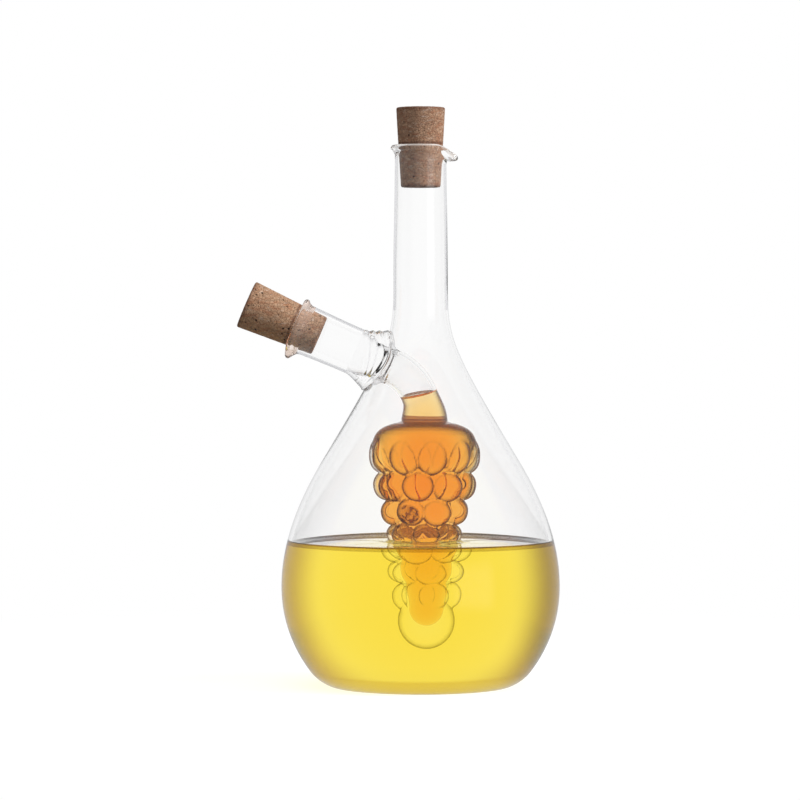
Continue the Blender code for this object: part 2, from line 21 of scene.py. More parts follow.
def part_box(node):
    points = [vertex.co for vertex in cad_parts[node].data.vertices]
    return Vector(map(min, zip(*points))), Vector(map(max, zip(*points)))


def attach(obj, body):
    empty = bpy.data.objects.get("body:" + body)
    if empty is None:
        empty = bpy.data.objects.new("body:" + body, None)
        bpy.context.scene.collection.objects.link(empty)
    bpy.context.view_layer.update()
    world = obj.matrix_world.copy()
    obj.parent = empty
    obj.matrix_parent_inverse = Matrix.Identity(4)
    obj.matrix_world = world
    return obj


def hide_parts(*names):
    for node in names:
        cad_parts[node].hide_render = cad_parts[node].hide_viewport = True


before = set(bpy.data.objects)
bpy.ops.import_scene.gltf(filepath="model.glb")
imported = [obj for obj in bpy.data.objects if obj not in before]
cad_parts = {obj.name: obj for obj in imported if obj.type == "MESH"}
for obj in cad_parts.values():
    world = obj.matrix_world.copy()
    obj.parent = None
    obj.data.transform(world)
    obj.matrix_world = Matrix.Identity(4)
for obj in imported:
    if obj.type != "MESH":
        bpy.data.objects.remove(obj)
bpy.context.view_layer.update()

Field = np.ndarray | float
Colour = tuple[float, float, float]
Spot = tuple[float, float, float]
Pair = tuple[float, float]
Output = bpy.types.NodeSocket

MM = 0.001
CREASE_SHADE = "crease"
SHADOW_AND_ENDS = "shadow_and_ends"
WHITE: Colour = (1.0, 1.0, 1.0)
DOUBLED = 1e-7
log = logging.getLogger("bottle")


class FlaskSide(IntEnum):
    """What a face of the flask meets, as the slot of the material that it takes."""

    OPEN, OILED, BESIDE_OIL, RIM, NECK, OIL_LINE = range(6)


class VesselSide(IntEnum):
    """What a face of the vinegar's vessel meets, as the slot of the material that it takes."""

    OPEN, BUNCH, LOWER_BUNCH, OILED_BUNCH, SOAKED, STAINED, JOINT, SEAL, RIM, ELBOW, TUBE = range(11)


def ease(share: Field) -> Field:
    """Smooth step from 0 to 1; a share beyond the ends is held there."""
    held = np.clip(share, 0.0, 1.0)
    return held * held * (3.0 - 2.0 * held)


def blend(low: Field, high: Field, share: Field) -> Field:
    """Straight mix between two values."""
    return low + (high - low) * share


def smooth_max(first: Field, second: Field, fillet: float) -> np.ndarray:
    """Larger of two fields, rounded where they differ by less than the fillet."""
    near = np.clip(fillet - np.abs(first - second), 0.0, None) / fillet
    return np.maximum(first, second) + near**3 * fillet / 6.0


def unit(vectors: np.ndarray) -> np.ndarray:
    """Vectors with their length made 1."""
    return vectors / np.linalg.norm(vectors, axis=-1, keepdims=True)


def turn_between(turn: np.ndarray, heading: float) -> np.ndarray:
    """Angle from a heading to each direction, between minus and plus half a turn."""
    return (turn - heading + np.pi) % (2 * np.pi) - np.pi


def bezier(corners: Sequence[Sequence[float]], count: int) -> np.ndarray:
    """Points of a cubic curve.

    Args:
        corners: Start, two handles and end.
        count: Number of steps along the curve.

    Returns:
        count + 1 points, both ends included.
    """
    start, first, second, end = (np.asarray(corner, float) for corner in corners)
    t = np.linspace(0.0, 1.0, count + 1)[:, None]
    return start * (1 - t) ** 3 + 3 * first * (1 - t) ** 2 * t + 3 * second * (1 - t) * t**2 + end * t**3


def arc(centre: Sequence[float], radius: float, first: float, last: float, count: int) -> np.ndarray:
    """Points of an arc in the (radius, height) plane, between angles in degrees from +radius."""
    turn = np.radians(np.linspace(first, last, count + 1))
    return np.asarray(centre, float) + radius * np.stack([np.cos(turn), np.sin(turn)], axis=1)


def joined(*stretches: np.ndarray) -> np.ndarray:
    """One outline from stretches that follow each other, with doubled points dropped."""
    points = np.concatenate(stretches)
    return points[np.insert(np.linalg.norm(np.diff(points, axis=0), axis=1) > DOUBLED, 0, True)]


def lengths_along(points: np.ndarray) -> np.ndarray:
    """Distance of each point of an outline from its start, or of each ring's points down a tube."""
    steps = np.linalg.norm(np.diff(points, axis=0), axis=-1)
    return np.insert(np.cumsum(steps, axis=0), 0, 0.0, axis=0)


def evenly(outline: np.ndarray, step: float) -> np.ndarray:
    """The outline again, with points at even steps.

    Args:
        outline: Points of the outline.
        step: Wanted distance between the new points.

    Returns:
        The new points, both ends included.
    """
    lengths = lengths_along(outline)
    places = np.linspace(0.0, lengths[-1], max(2, round(lengths[-1] / step) + 1))
    return np.stack([np.interp(places, lengths, outline[:, axis]) for axis in range(2)], axis=1)


def outward(outline: np.ndarray) -> np.ndarray:
    """Unit normals on the right of an outline, which is outwards on a rising one."""
    along = unit(np.gradient(outline, axis=0))
    return np.stack([along[:, 1], -along[:, 0]], axis=1)


def full_turn(sides: int, start: float = 0.0) -> np.ndarray:
    """Directions of the points of a ring, in radians."""
    return start + 2 * np.pi * np.arange(sides) / sides


def round_axis(radius: Field, turn: np.ndarray, height: Field, offset: float = 0.0) -> np.ndarray:
    """Points by distance, direction and height round an upright axis that stands offset along +X."""
    parts = np.broadcast_arrays(offset + radius * np.cos(turn), radius * np.sin(turn), height)
    return np.stack(parts, axis=-1)


def turned(outline: np.ndarray, sides: int, offset: float = 0.0, start: float = 0.0) -> np.ndarray:
    """Rings of points round an upright axis, from an outline of radius and height."""
    return round_axis(outline[:, :1], full_turn(sides, start), outline[:, 1:], offset)


def placed(rings: np.ndarray, matrix: Matrix) -> np.ndarray:
    """Rings moved by a matrix."""
    values = np.array(matrix)
    return rings @ values[:3, :3].T + values[:3, 3]


def stitch(near: np.ndarray, far: np.ndarray) -> list[tuple[int, ...]]:
    """Faces between two rings of points, of which one may have twice as many points as the other.

    Args:
        near: Indices of the points of the first ring.
        far: Indices of the points of the second ring.

    Returns:
        The corners of each face; a face at a pole is a triangle.
    """
    if len(near) == 2 * len(far):
        return [face[::-1] for face in stitch(far, near)]
    if len(far) == 2 * len(near):
        faces = []
        for side, first in enumerate(near):
            second = near[(side + 1) % len(near)]
            fine = [far[(2 * side + step) % len(far)] for step in range(3)]
            faces += [(first, fine[1], fine[0]), (first, second, fine[1]), (second, fine[2], fine[1])]
        return faces
    corners = np.stack([near, np.roll(near, -1), np.roll(far, -1), far], axis=1).tolist()
    return [tuple(dict.fromkeys(face)) for face in corners if len(set(face)) > 2]


def shown(name: str, data: bpy.types.ID) -> bpy.types.Object:
    """Puts an object with the data into the scene.

    Args:
        name: Name of the object.
        data: Its mesh, camera or lamp data.

    Returns:
        The object.
    """
    thing = bpy.data.objects.new(name, data)
    bpy.context.scene.collection.objects.link(thing)
    return thing


def skin(
    name: str,
    rings: Sequence[np.ndarray],
    materials: Sequence[bpy.types.Material],
    slot_of: Callable[[np.ndarray, np.ndarray], np.ndarray] | None = None,
) -> bpy.types.Object:
    """Makes a piece from rings of points, with a pole wherever a ring has shrunk to a point.

    Args:
        name: Name of the piece.
        rings: Rings in order, from one end of the skin to the other.
        materials: Materials of the piece.
        slot_of: Gives each face its material's index, from the index of the ring before it and from
            its middle. Without it every face has the first material.

    Returns:
        The new object, smooth shaded.
    """
    points: list[list[float]] = []
    faces: list[tuple[int, ...]] = []
    rows: list[int] = []
    near = np.zeros(0, int)
    for row, ring in enumerate(rings):
        pole = np.ptp(ring, axis=0).max() < DOUBLED / 10
        far = len(points) + (np.zeros(len(ring), int) if pole else np.arange(len(ring)))
        points.extend((ring[:1] if pole else ring).tolist())
        band = stitch(near, far) if row else []
        faces += band
        rows += [row - 1] * len(band)
        near = far
    mesh = bpy.data.meshes.new(name)
    mesh.from_pydata(points, [], faces)
    for material in materials:
        mesh.materials.append(material)
    if slot_of:
        spots = np.array(points)
        middles = np.array([spots[list(face)].mean(axis=0) for face in faces])
        mesh.polygons.foreach_set("material_index", slot_of(np.array(rows), middles).astype(int))
    mesh.shade_smooth()
    mesh.update()
    return shown(name, mesh)


def mark(piece: bpy.types.Object, name: str, values: np.ndarray) -> None:
    """Writes a value on each point of a piece, for its material to read."""
    piece.data.attributes.new(name, "FLOAT", "POINT").data.foreach_set("value", values)


def split_columns(
    rings: np.ndarray, over: np.ndarray, first: int, second: int
) -> tuple[np.ndarray, np.ndarray]:
    """Parts a tube where each of its columns of points meets a surface.

    Args:
        rings: Rings of the tube.
        over: Signed distance of each point from the surface.
        first: Steps of the new rings before the surface.
        second: Steps of the new rings behind the surface.

    Returns:
        The rings up to the surface and the rings from it on; both hold the ring on the surface.
    """
    places = lengths_along(rings)
    parts = np.empty((first + 1, rings.shape[1], 3)), np.empty((second + 1, rings.shape[1], 3))
    for side in range(rings.shape[1]):
        row = int(np.argmax(np.sign(over[1:, side]) != np.sign(over[0, side])))
        share = over[row, side] / (over[row, side] - over[row + 1, side])
        meet = blend(places[row, side], places[row + 1, side], share)
        for part, ends in zip(parts, ((0.0, meet), (meet, places[-1, side]))):
            spots = np.linspace(*ends, len(part))
            for axis in range(3):
                part[:, side, axis] = np.interp(spots, places[:, side], rings[:, side, axis])
    return parts


def seat(piece: bpy.types.Object, body: str, slot: str, *nodes: str) -> None:
    """Fixes a finished piece to its CAD body and reports it.

    Args:
        piece: The piece.
        body: CAD body that it moves with.
        slot: Material slot of the record; not used.
        nodes: CAD nodes that it stands for.
    """
    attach(piece, body)
    if nodes:
        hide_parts(*nodes)
    log.info("%s: %d faces, rides on %s", piece.name, len(piece.data.polygons), body)


class Sheet:
    """A node tree that is filled by short calls."""

    def __init__(self, tree: bpy.types.NodeTree) -> None:
        """Starts on an emptied tree."""
        self.tree = tree
        tree.nodes.clear()

    def add(self, kind: str, inputs: dict | None = None, **settings: object) -> bpy.types.Node:
        """Adds a node.

        Args:
            kind: Blender's name of the node type, without the ShaderNode in front.
            inputs: Value or source socket for each named or numbered input.
            settings: Attributes of the node.

        Returns:
            The node.
        """
        node = self.tree.nodes.new("ShaderNode" + kind)
        for name, value in settings.items():
            setattr(node, name, value)
        for key, value in (inputs or {}).items():
            self.feed(node.inputs[key], value)
        return node

    def feed(self, socket: Output, value: object) -> None:
        """Links a source socket to an input, or sets the input's value.

        Args:
            socket: The input.
            value: The source socket, or the value; a colour needs no alpha.
        """
        if isinstance(value, Output):
            self.tree.links.new(value, socket)
        elif isinstance(value, tuple) and len(value) == 3 and socket.type == "RGBA":
            socket.default_value = (*value, 1.0)
        else:
            socket.default_value = value

    def math(self, operation: str, first: object, second: object = 0.0) -> Output:
        """Adds a Math node and returns its output."""
        return self.add("Math", {0: first, 1: second}, operation=operation).outputs[0]

    def chain(self, operation: str, first: object, *others: object) -> Output:
        """Combines values one after the other, all by the same operation.

        Args:
            operation: Operation of the Math nodes.
            first: First value or source socket.
            others: Further values or source sockets, in order.

        Returns:
            The last node's output.
        """
        for other in others:
            first = self.math(operation, first, other)
        return first

    def vector(self, operation: str, *inputs: object) -> Output:
        """Adds a Vector Math node and returns the output that the operation fills."""
        outputs = self.add("VectorMath", dict(enumerate(inputs)), operation=operation).outputs
        return outputs["Value" if operation in ("DOT_PRODUCT", "LENGTH") else "Vector"]

    def range(self, value: object, low: object, high: object, to: Pair = (0.0, 1.0)) -> Output:
        """Maps a value smoothly from low..high to another range and returns the output."""
        inputs = {"Value": value, "From Min": low, "From Max": high, "To Min": to[0], "To Max": to[1]}
        return self.add("MapRange", inputs, interpolation_type="SMOOTHSTEP").outputs["Result"]

    def mix(self, factor: object, first: object, second: object, how: str = "MIX") -> Output:
        """Mixes two colours; inputs 6 and 7 and output 2 of the node are its colours."""
        inputs = {"Factor": factor, 6: first, 7: second}
        return self.add("Mix", inputs, data_type="RGBA", blend_type=how).outputs[2]

    def place(self) -> Output:
        """Place on the object."""
        return self.add("TexCoord").outputs["Object"]

    def noise(self, place: Output, scale: object, detail: float, roughness: float = 0.5) -> bpy.types.Node:
        """Adds a noise texture."""
        inputs = {"Vector": place, "Scale": scale, "Detail": detail, "Roughness": roughness}
        return self.add("TexNoise", inputs)

    def marked(self, name: str) -> Output:
        """Value that is written on the points of the piece."""
        return self.add("Attribute", attribute_name=name).outputs["Fac"]

    def either(self, share: Output, first: bpy.types.Node, second: bpy.types.Node) -> bpy.types.Node:
        """Mixes two shaders."""
        return self.add("MixShader", {0: share, 1: first.outputs[0], 2: second.outputs[0]})

    def clear(self) -> bpy.types.Node:
        """Adds a shader that lets everything through unbent."""
        return self.add("BsdfTransparent", {"Color": WHITE})


def effect(
    name: str, inputs: dict[str, str], outputs: dict[str, str]
) -> tuple[Sheet, bpy.types.NodeOutputs, bpy.types.NodeInputs]:
    """Starts a node group for an effect that several materials share.

    Args:
        name: Name of the group.
        inputs: Socket kind of each input: Float, Color or Vector.
        outputs: Socket kind of each output.

    Returns:
        The group's sheet, what it is given and what it results in.
    """
    tree = bpy.data.node_groups.new(name, "ShaderNodeTree")
    sheet = Sheet(tree)
    for sockets, way in ((inputs, "INPUT"), (outputs, "OUTPUT")):
        for socket, kind in sockets.items():
            tree.interface.new_socket(name=socket, in_out=way, socket_type="NodeSocket" + kind)
    return sheet, tree.nodes.new("NodeGroupInput").outputs, tree.nodes.new("NodeGroupOutput").inputs


def edge_tint_effect() -> bpy.types.NodeTree:
    """Colour of a clear face: as the middle where it faces the eye, darker where it turns away.

    Returns:
        The group's node tree.
    """
    inputs = {"Facing": "Float", "Middle": "Color", "Edge": "Color", "Start": "Float", "End": "Float"}
    sheet, given, result = effect("edge tint", inputs, {"Colour": "Color"})
    turned_away = sheet.range(given["Facing"], given["Start"], given["End"])
    sheet.feed(result["Colour"], sheet.mix(turned_away, given["Middle"], given["Edge"]))
    return sheet.tree


def crease_shade_effect() -> bpy.types.NodeTree:
    """Colour of glass darkened by painted shade, a little unevenly, where the marked depth is high.

    Returns:
        The group's node tree.
    """
    inputs = {"Depth": "Float", "Clear": "Color", "Crease": "Color"}
    sheet, given, result = effect("painted crease shade", inputs, {"Colour": "Color"})
    patches = sheet.range(sheet.noise(sheet.place(), 420.0, 2.0).outputs["Fac"], 0.40, 0.54, (0.50, 1.0))
    stained = sheet.mix(sheet.math("MULTIPLY", given["Depth"], patches), WHITE, given["Crease"])
    sheet.feed(result["Colour"], sheet.mix(1.0, given["Clear"], stained, "MULTIPLY"))
    return sheet.tree


def blown_wave_effect() -> bpy.types.NodeTree:
    """Normal of glass that was shaped by hand, with long soft waves.

    Returns:
        The group's node tree.
    """
    inputs = {"Wave Scale": "Float", "Wave Depth": "Float"}
    sheet, given, result = effect("blown wave", inputs, {"Normal": "Vector"})
    height = sheet.noise(sheet.place(), given["Wave Scale"], 1.5).outputs["Fac"]
    bump = sheet.add("Bump", {"Height": height, "Distance": given["Wave Depth"], "Strength": 1.0})
    sheet.feed(result["Normal"], bump.outputs["Normal"])
    return sheet.tree


def cork_grain_effect() -> bpy.types.NodeTree:
    """Pressed cork: granules of many shades, seams between them, pits and dark flecks of bark.

    Returns:
        The group's node tree.
    """
    inputs = {"Pale": "Color", "Deep": "Color", "Seam": "Color"}
    inputs.update({"Granule Scale": "Float", "Pit Share": "Float", "Shadow And Ends": "Float"})
    outputs = {"Colour": "Color", "Roughness": "Float", "Height": "Float"}
    sheet, given, result = effect("cork grain", inputs, outputs)
    place = sheet.place()
    scale = given["Granule Scale"]
    wander = sheet.noise(place, 900.0, 2.0).outputs["Color"]
    bent = sheet.vector("ADD", place, sheet.vector("MULTIPLY", wander, (0.0009, 0.0009, 0.0009)))

    def shade_of_cells(cell_scale: Output) -> tuple[bpy.types.NodeOutputs, bpy.types.NodeOutputs]:
        """Cells of granules, and the random shades of each."""
        cells = sheet.add("TexVoronoi", {"Vector": bent, "Scale": cell_scale}).outputs
        return cells, sheet.add("SeparateColor", {0: cells["Color"]}).outputs

    _, shades = shade_of_cells(scale)
    fine = sheet.noise(place, 2600.0, 4.0, 0.7).outputs["Fac"]
    broad = sheet.noise(place, 190.0, 2.0).outputs["Fac"]
    weighted = [sheet.math("MULTIPLY", *pair) for pair in ((fine, 0.8), (shades[0], 0.5), (broad, 0.7))]
    colour = sheet.mix(sheet.chain("ADD", *weighted, -0.5), given["Deep"], given["Pale"])

    flat = sheet.vector("MULTIPLY", place, (1.0, 1.0, 2.6))
    rust = sheet.range(sheet.noise(flat, 270.0, 3.0, 0.6).outputs["Fac"], 0.46, 0.64, (0.0, 0.75))
    colour = sheet.mix(rust, colour, sheet.mix(1.0, colour, (0.86, 0.66, 0.58), "MULTIPLY"))
    dust = sheet.range(sheet.noise(flat, 420.0, 3.0, 0.6).outputs["Fac"], 0.54, 0.70, (0.0, 0.45))
    colour = sheet.mix(dust, colour, (0.58, 0.46, 0.38))

    seams = sheet.add("TexVoronoi", {"Vector": bent, "Scale": scale}, feature="DISTANCE_TO_EDGE")
    seam = sheet.range(seams.outputs["Distance"], 0.0, 0.10, (0.42, 0.0))
    colour = sheet.mix(seam, colour, given["Seam"])

    flecks, picks = shade_of_cells(sheet.math("MULTIPLY", scale, 0.85))
    core = sheet.range(flecks["Distance"], 0.16, 0.34, (1.0, 0.0))
    pit = sheet.math("MULTIPLY", sheet.math("LESS_THAN", picks[1], given["Pit Share"]), core)
    colour = sheet.mix(pit, colour, (0.05, 0.027, 0.016))

    pore = sheet.range(sheet.noise(place, 1500.0, 3.0, 0.65).outputs["Fac"], 0.60, 0.70, (0.0, 0.75))
    colour = sheet.mix(pore, colour, given["Seam"])
    sunk = [sheet.math("MULTIPLY", *pair) for pair in ((fine, 0.5), (seam, -1.0), (pit, -2.4), (pore, -0.9))]
    # painted shadow: darker along the line where the cork meets the rim, and darker towards its ends
    shadow_and_ends = sheet.mix(1.0, colour, (0.50, 0.44, 0.46), "MULTIPLY")
    sheet.feed(result["Colour"], sheet.mix(given["Shadow And Ends"], colour, shadow_and_ends))
    sheet.feed(result["Roughness"], sheet.range(fine, 0.2, 0.8, (0.96, 0.78)))
    sheet.feed(result["Height"], sheet.chain("ADD", *sunk))
    return sheet.tree


class Effects:
    """The shared node groups, each built once."""

    def __init__(self) -> None:
        """Builds the groups."""
        self.edge_tint = edge_tint_effect()
        self.crease_shade = crease_shade_effect()
        self.blown_wave = blown_wave_effect()
        self.cork_grain = cork_grain_effect()

    def materials(self, *finishes: "Finish") -> list[bpy.types.Material]:
        """Builds the material of each finish."""
        return [finish.material(self) for finish in finishes]


def passing(sheet: Sheet, shader: bpy.types.Node) -> Output:
    """Lets lamps and the light of matt surfaces straight through a clear shader.

    Args:
        sheet: The material's sheet.
        shader: The clear shader.

    Returns:
        The output of the mixed shader.
    """
    rays = sheet.add("LightPath").outputs
    straight = sheet.math("MAXIMUM", rays["Is Shadow Ray"], rays["Is Diffuse Ray"])
    return sheet.either(straight, shader, sheet.clear()).outputs[0]


def new_material(name: str) -> tuple[bpy.types.Material, Sheet]:
    """Starts a material and returns it with its sheet.

    Args:
        name: Name of the material.

    Returns:
        The material and its emptied sheet.
    """
    material = bpy.data.materials.new(name)
    material.use_nodes = True
    return material, Sheet(material.node_tree)


@dataclass(frozen=True)
class Tint:
    """Colour at the edge of a clear surface, how far that is turned away from the eye, and its middle."""

    edge: Colour = WHITE
    start: float = 0.55
    end: float = 1.0
    middle: Colour = WHITE

    def colour(self, sheet: Sheet, effects: Effects, facing: Output) -> Output:
        """Adds the tint to a material.

        Args:
            sheet: The material's sheet.
            effects: The shared node groups.
            facing: How far the surface is turned away, from 0 to 1.

        Returns:
            The colour.
        """
        reach = {"Start": self.start, "End": self.end}
        values = {"Facing": facing, "Middle": self.middle, "Edge": self.edge, **reach}
        return sheet.add("Group", values, node_tree=effects.edge_tint).outputs["Colour"]


@dataclass(frozen=True)
class Finish:
    """A named finish, of which each kind wires its own nodes."""

    name: str

    def wire(self, sheet: Sheet, effects: Effects) -> dict[str, Output]:
        """Adds the finish's nodes.

        Args:
            sheet: The material's sheet.
            effects: The shared node groups.

        Returns:
            Source of each input of the material's output.
        """
        raise NotImplementedError

    def material(self, effects: Effects) -> bpy.types.Material:
        """Builds the material with the shared node groups.

        Args:
            effects: The shared node groups.

        Returns:
            The material.
        """
        material, sheet = new_material(self.name)
        sheet.add("OutputMaterial", self.wire(sheet, effects))
        return material


@dataclass(frozen=True)
class ClearFinish(Finish):
    """Glass against air or against a liquid, or the top of a liquid.

    The tint's edge shows where the surface turns away from the eye, and darkens the outlines. Lamps
    and the light of matt surfaces pass straight through, so that what stands behind is lit. A wave is
    the scale and depth of the blown waves. Glass with a crease colour is darkened by painted shade in
    its creases, and shows its edges and creases weaker from behind.
    """

    ior: float
    tint: Tint = Tint()
    wave: Pair | None = None
    mirror: float = 1.0
    highlight_haze: float = 0.0
    crease: Colour | None = None

    def wire(self, sheet: Sheet, effects: Effects) -> dict[str, Output]:
        """Adds the finish's nodes.

        Args:
            sheet: The material's sheet.
            effects: The shared node groups.

        Returns:
            Source of each input of the material's output.
        """
        facing = sheet.add("LayerWeight", {"Blend": 0.5}).outputs["Facing"]
        if self.crease:
            front = sheet.range(sheet.add("NewGeometry").outputs["Backfacing"], 0.0, 1.0, (1.0, 0.22))
            facing = sheet.math("MULTIPLY", facing, front)
        colour = self.tint.colour(sheet, effects, facing)
        if self.crease:
            # painted shade: the crease colour darkens the glass where the marked depth is high
            depth = sheet.math("MULTIPLY", sheet.marked(CREASE_SHADE), front)
            values = {"Depth": depth, "Clear": colour, "Crease": self.crease}
            colour = sheet.add("Group", values, node_tree=effects.crease_shade).outputs["Colour"]
        values = {"Base Color": colour, "Roughness": 0.0, "IOR": self.ior}
        # the haze is a pale matt share that paints a highlight band on the rims
        values["Transmission Weight"] = 1.0 - self.highlight_haze
        shader = sheet.add("BsdfPrincipled", values)
        shader.inputs["Specular Tint"].default_value = (self.mirror, self.mirror, self.mirror, 1.0)
        if self.wave:
            values = dict(zip(("Wave Scale", "Wave Depth"), self.wave))
            waves = sheet.add("Group", values, node_tree=effects.blown_wave)
            sheet.feed(shader.inputs["Normal"], waves.outputs["Normal"])
        return {"Surface": passing(sheet, shader)}


@dataclass(frozen=True)
class LiquidFinish(Finish):
    """The body of a liquid, which bends no light by itself: its glass and its top do that.

    Its rim tint shows only on the outside of the body, at about the rim's radius from the axis.
    """

    absorption: Colour
    rim: Tint = Tint()
    rim_radius: float = 30.0 * MM

    def wire(self, sheet: Sheet, effects: Effects) -> dict[str, Output]:
        """Adds the finish's nodes.

        Args:
            sheet: The material's sheet.
            effects: The shared node groups.

        Returns:
            Source of each input of the material's output.
        """
        radius = sheet.vector("LENGTH", sheet.vector("MULTIPLY", sheet.place(), (1.0, 1.0, 0.0)))
        outside = sheet.range(radius, 0.7 * self.rim_radius, self.rim_radius)
        facing = sheet.add("LayerWeight", {"Blend": 0.5}).outputs["Facing"]
        colour = self.rim.colour(sheet, effects, sheet.math("MULTIPLY", facing, outside))
        values = {"Base Color": colour, "Roughness": 0.0, "IOR": 1.0, "Transmission Weight": 1.0}
        shader = sheet.add("BsdfPrincipled", values)
        density = max(self.absorption)
        kept = tuple(1.0 - share / density for share in self.absorption)
        volume = sheet.add("VolumeAbsorption", {"Color": kept, "Density": density})
        return {"Surface": passing(sheet, shader), "Volume": volume.outputs[0]}


@dataclass(frozen=True)
class CorkFinish(Finish):
    """Pressed cork of one mouth."""

    pale: Colour
    deep: Colour
    seam: Colour
    granule_scale: float
    pit_share: float
    bump: float = 0.35 * MM

    def wire(self, sheet: Sheet, effects: Effects) -> dict[str, Output]:
        """Adds the finish's nodes.

        Args:
            sheet: The material's sheet.
            effects: The shared node groups.

        Returns:
            Source of each input of the material's output.
        """
        values = {
            "Pale": self.pale,
            "Deep": self.deep,
            "Seam": self.seam,
            "Granule Scale": self.granule_scale,
            "Pit Share": self.pit_share,
            "Shadow And Ends": sheet.marked(SHADOW_AND_ENDS),
        }
        grain = sheet.add("Group", values, node_tree=effects.cork_grain).outputs
        bump = sheet.add("Bump", {"Height": grain["Height"], "Distance": self.bump, "Strength": 0.9})
        values = {"Base Color": grain["Colour"], "Roughness": grain["Roughness"]}
        shader = sheet.add("BsdfPrincipled", {**values, "Normal": bump.outputs["Normal"]})
        shader.inputs["Specular IOR Level"].default_value = 0.25
        return {"Surface": shader.outputs[0]}


GLASS = 1.47
WINE = 1.34
CLEAR_GLASS = ClearFinish("clear glass", GLASS, Tint((0.70, 0.70, 0.73), 0.70, 0.94), mirror=0.8)
TUBE_GLASS = ClearFinish("tube glass", GLASS, Tint((0.60, 0.60, 0.63), 0.47, 0.66), mirror=0.8)
SPOUT_GLASS = ClearFinish("spout glass", GLASS, Tint((0.40, 0.40, 0.43), 0.44, 0.64), mirror=0.8)
OIL_WALL = ClearFinish("glass beside the oil", GLASS, mirror=0.4)
# painted shade: the glass just below the oil's edge is darkened to an olive-brown band
OIL_LINE = ClearFinish(
    "glass at the oil's edge", 1.003, Tint((0.20, 0.11, 0.07), 0.05, 0.45, (0.46, 0.38, 0.20))
)
OILED_GLASS = ClearFinish("glass in oil", 1.003, Tint((0.85, 0.80, 0.55), 0.80, 1.0))
# painted highlight: the pale cream haze stands in for the bright band along the mouth's rim, and the dark
# edge tint paints a shadow line over its top
RIM_GLASS = ClearFinish(
    "rim with painted highlight", 1.30, Tint((0.30, 0.25, 0.23), 0.62, 0.98, (0.93, 0.88, 0.84)), highlight_haze=0.42
)
# painted highlight: the pale haze stands in for the bright band along the spout's rim, and the dark edge tint
# paints shade at its edges
SPOUT_RIM = ClearFinish(
    "spout rim", 1.30, Tint((0.22, 0.13, 0.09), 0.40, 0.95, (0.86, 0.72, 0.64)), highlight_haze=0.14
)
BUNCH_TINT = Tint((0.040, 0.011, 0.005), 0.20, 0.68, (1.0, 1.0, 0.98))
# the crease colours of the bunch's glass are painted shade in its creases
BUNCH_GLASS = ClearFinish(
    "bunch glass", 1.07, BUNCH_TINT, (220.0, 0.03 * MM), mirror=0.8, crease=(0.05, 0.014, 0.006)
)
LOWER_TINT = replace(BUNCH_TINT, middle=(1.0, 0.82, 0.55))
LOWER_BUNCH = replace(BUNCH_GLASS, name="lower bunch glass", tint=LOWER_TINT)
OILED_BUNCH = ClearFinish(
    "bunch glass in oil", 1.02, Tint((0.22, 0.20, 0.03), 0.36, 0.88), crease=(0.50, 0.42, 0.12)
)
SOAKED_GLASS = ClearFinish(
    "bunch glass on vinegar", 1.01, Tint((0.84, 0.52, 0.24), 0.72, 1.0, (0.95, 0.84, 0.66))
)
ELBOW_LINING = ClearFinish("elbow glass on vinegar", 1.03, Tint((0.62, 0.36, 0.18), 0.75, 1.0))
STAINED_GLASS = ClearFinish("elbow glass round vinegar", GLASS, Tint((0.05, 0.015, 0.007), 0.20, 0.72))
JOINT_GLASS = ClearFinish(
    "joint of elbow and bunch", GLASS, Tint((0.04, 0.012, 0.006), 0.20, 0.70, (0.22, 0.07, 0.03))
)
SEAL_TINT = Tint((0.30, 0.30, 0.32), 0.30, 0.95, (0.98, 0.98, 0.98))
# the seal's crease colour is painted grey shade in its folds
SEAL_GLASS = ClearFinish(
    "seal glass", 1.18, SEAL_TINT, (420.0, 0.1 * MM), mirror=0.8, crease=(0.50, 0.50, 0.53)
)
OIL_TOP = ClearFinish("oil surface", GLASS, Tint((0.88, 0.82, 0.70), 0.5, 1.0))
# painted shade: the oil's raised edge is darkened brown
OIL_EDGE = ClearFinish("oil's raised edge", GLASS, Tint((0.22, 0.14, 0.05), 0.3, 1.0, (0.34, 0.24, 0.11)))
VINEGAR_TOP = ClearFinish("vinegar surface", WINE, Tint((0.35, 0.16, 0.08), 0.6, 1.0, (0.95, 0.84, 0.70)))
# painted shade: the vinegar's raised edge is darkened almost to black
MENISCUS = ClearFinish(
    "vinegar's raised edge", WINE, Tint((0.03, 0.01, 0.006), 0.4, 1.0, (0.10, 0.030, 0.014))
)
OIL = LiquidFinish("oil", (0.3, 3.2, 30.0), Tint((0.74, 0.62, 0.46), 0.13, 0.26))
VINEGAR = LiquidFinish("vinegar", (0.4, 29.0, 108.0))
NECK_CORK = CorkFinish("neck cork", (0.47, 0.29, 0.19), (0.27, 0.15, 0.095), (0.18, 0.095, 0.06), 900.0, 0.04)
SPOUT_CORK = CorkFinish(
    "spout cork", (0.53, 0.335, 0.215), (0.33, 0.19, 0.115), (0.20, 0.105, 0.06), 820.0, 0.16
)


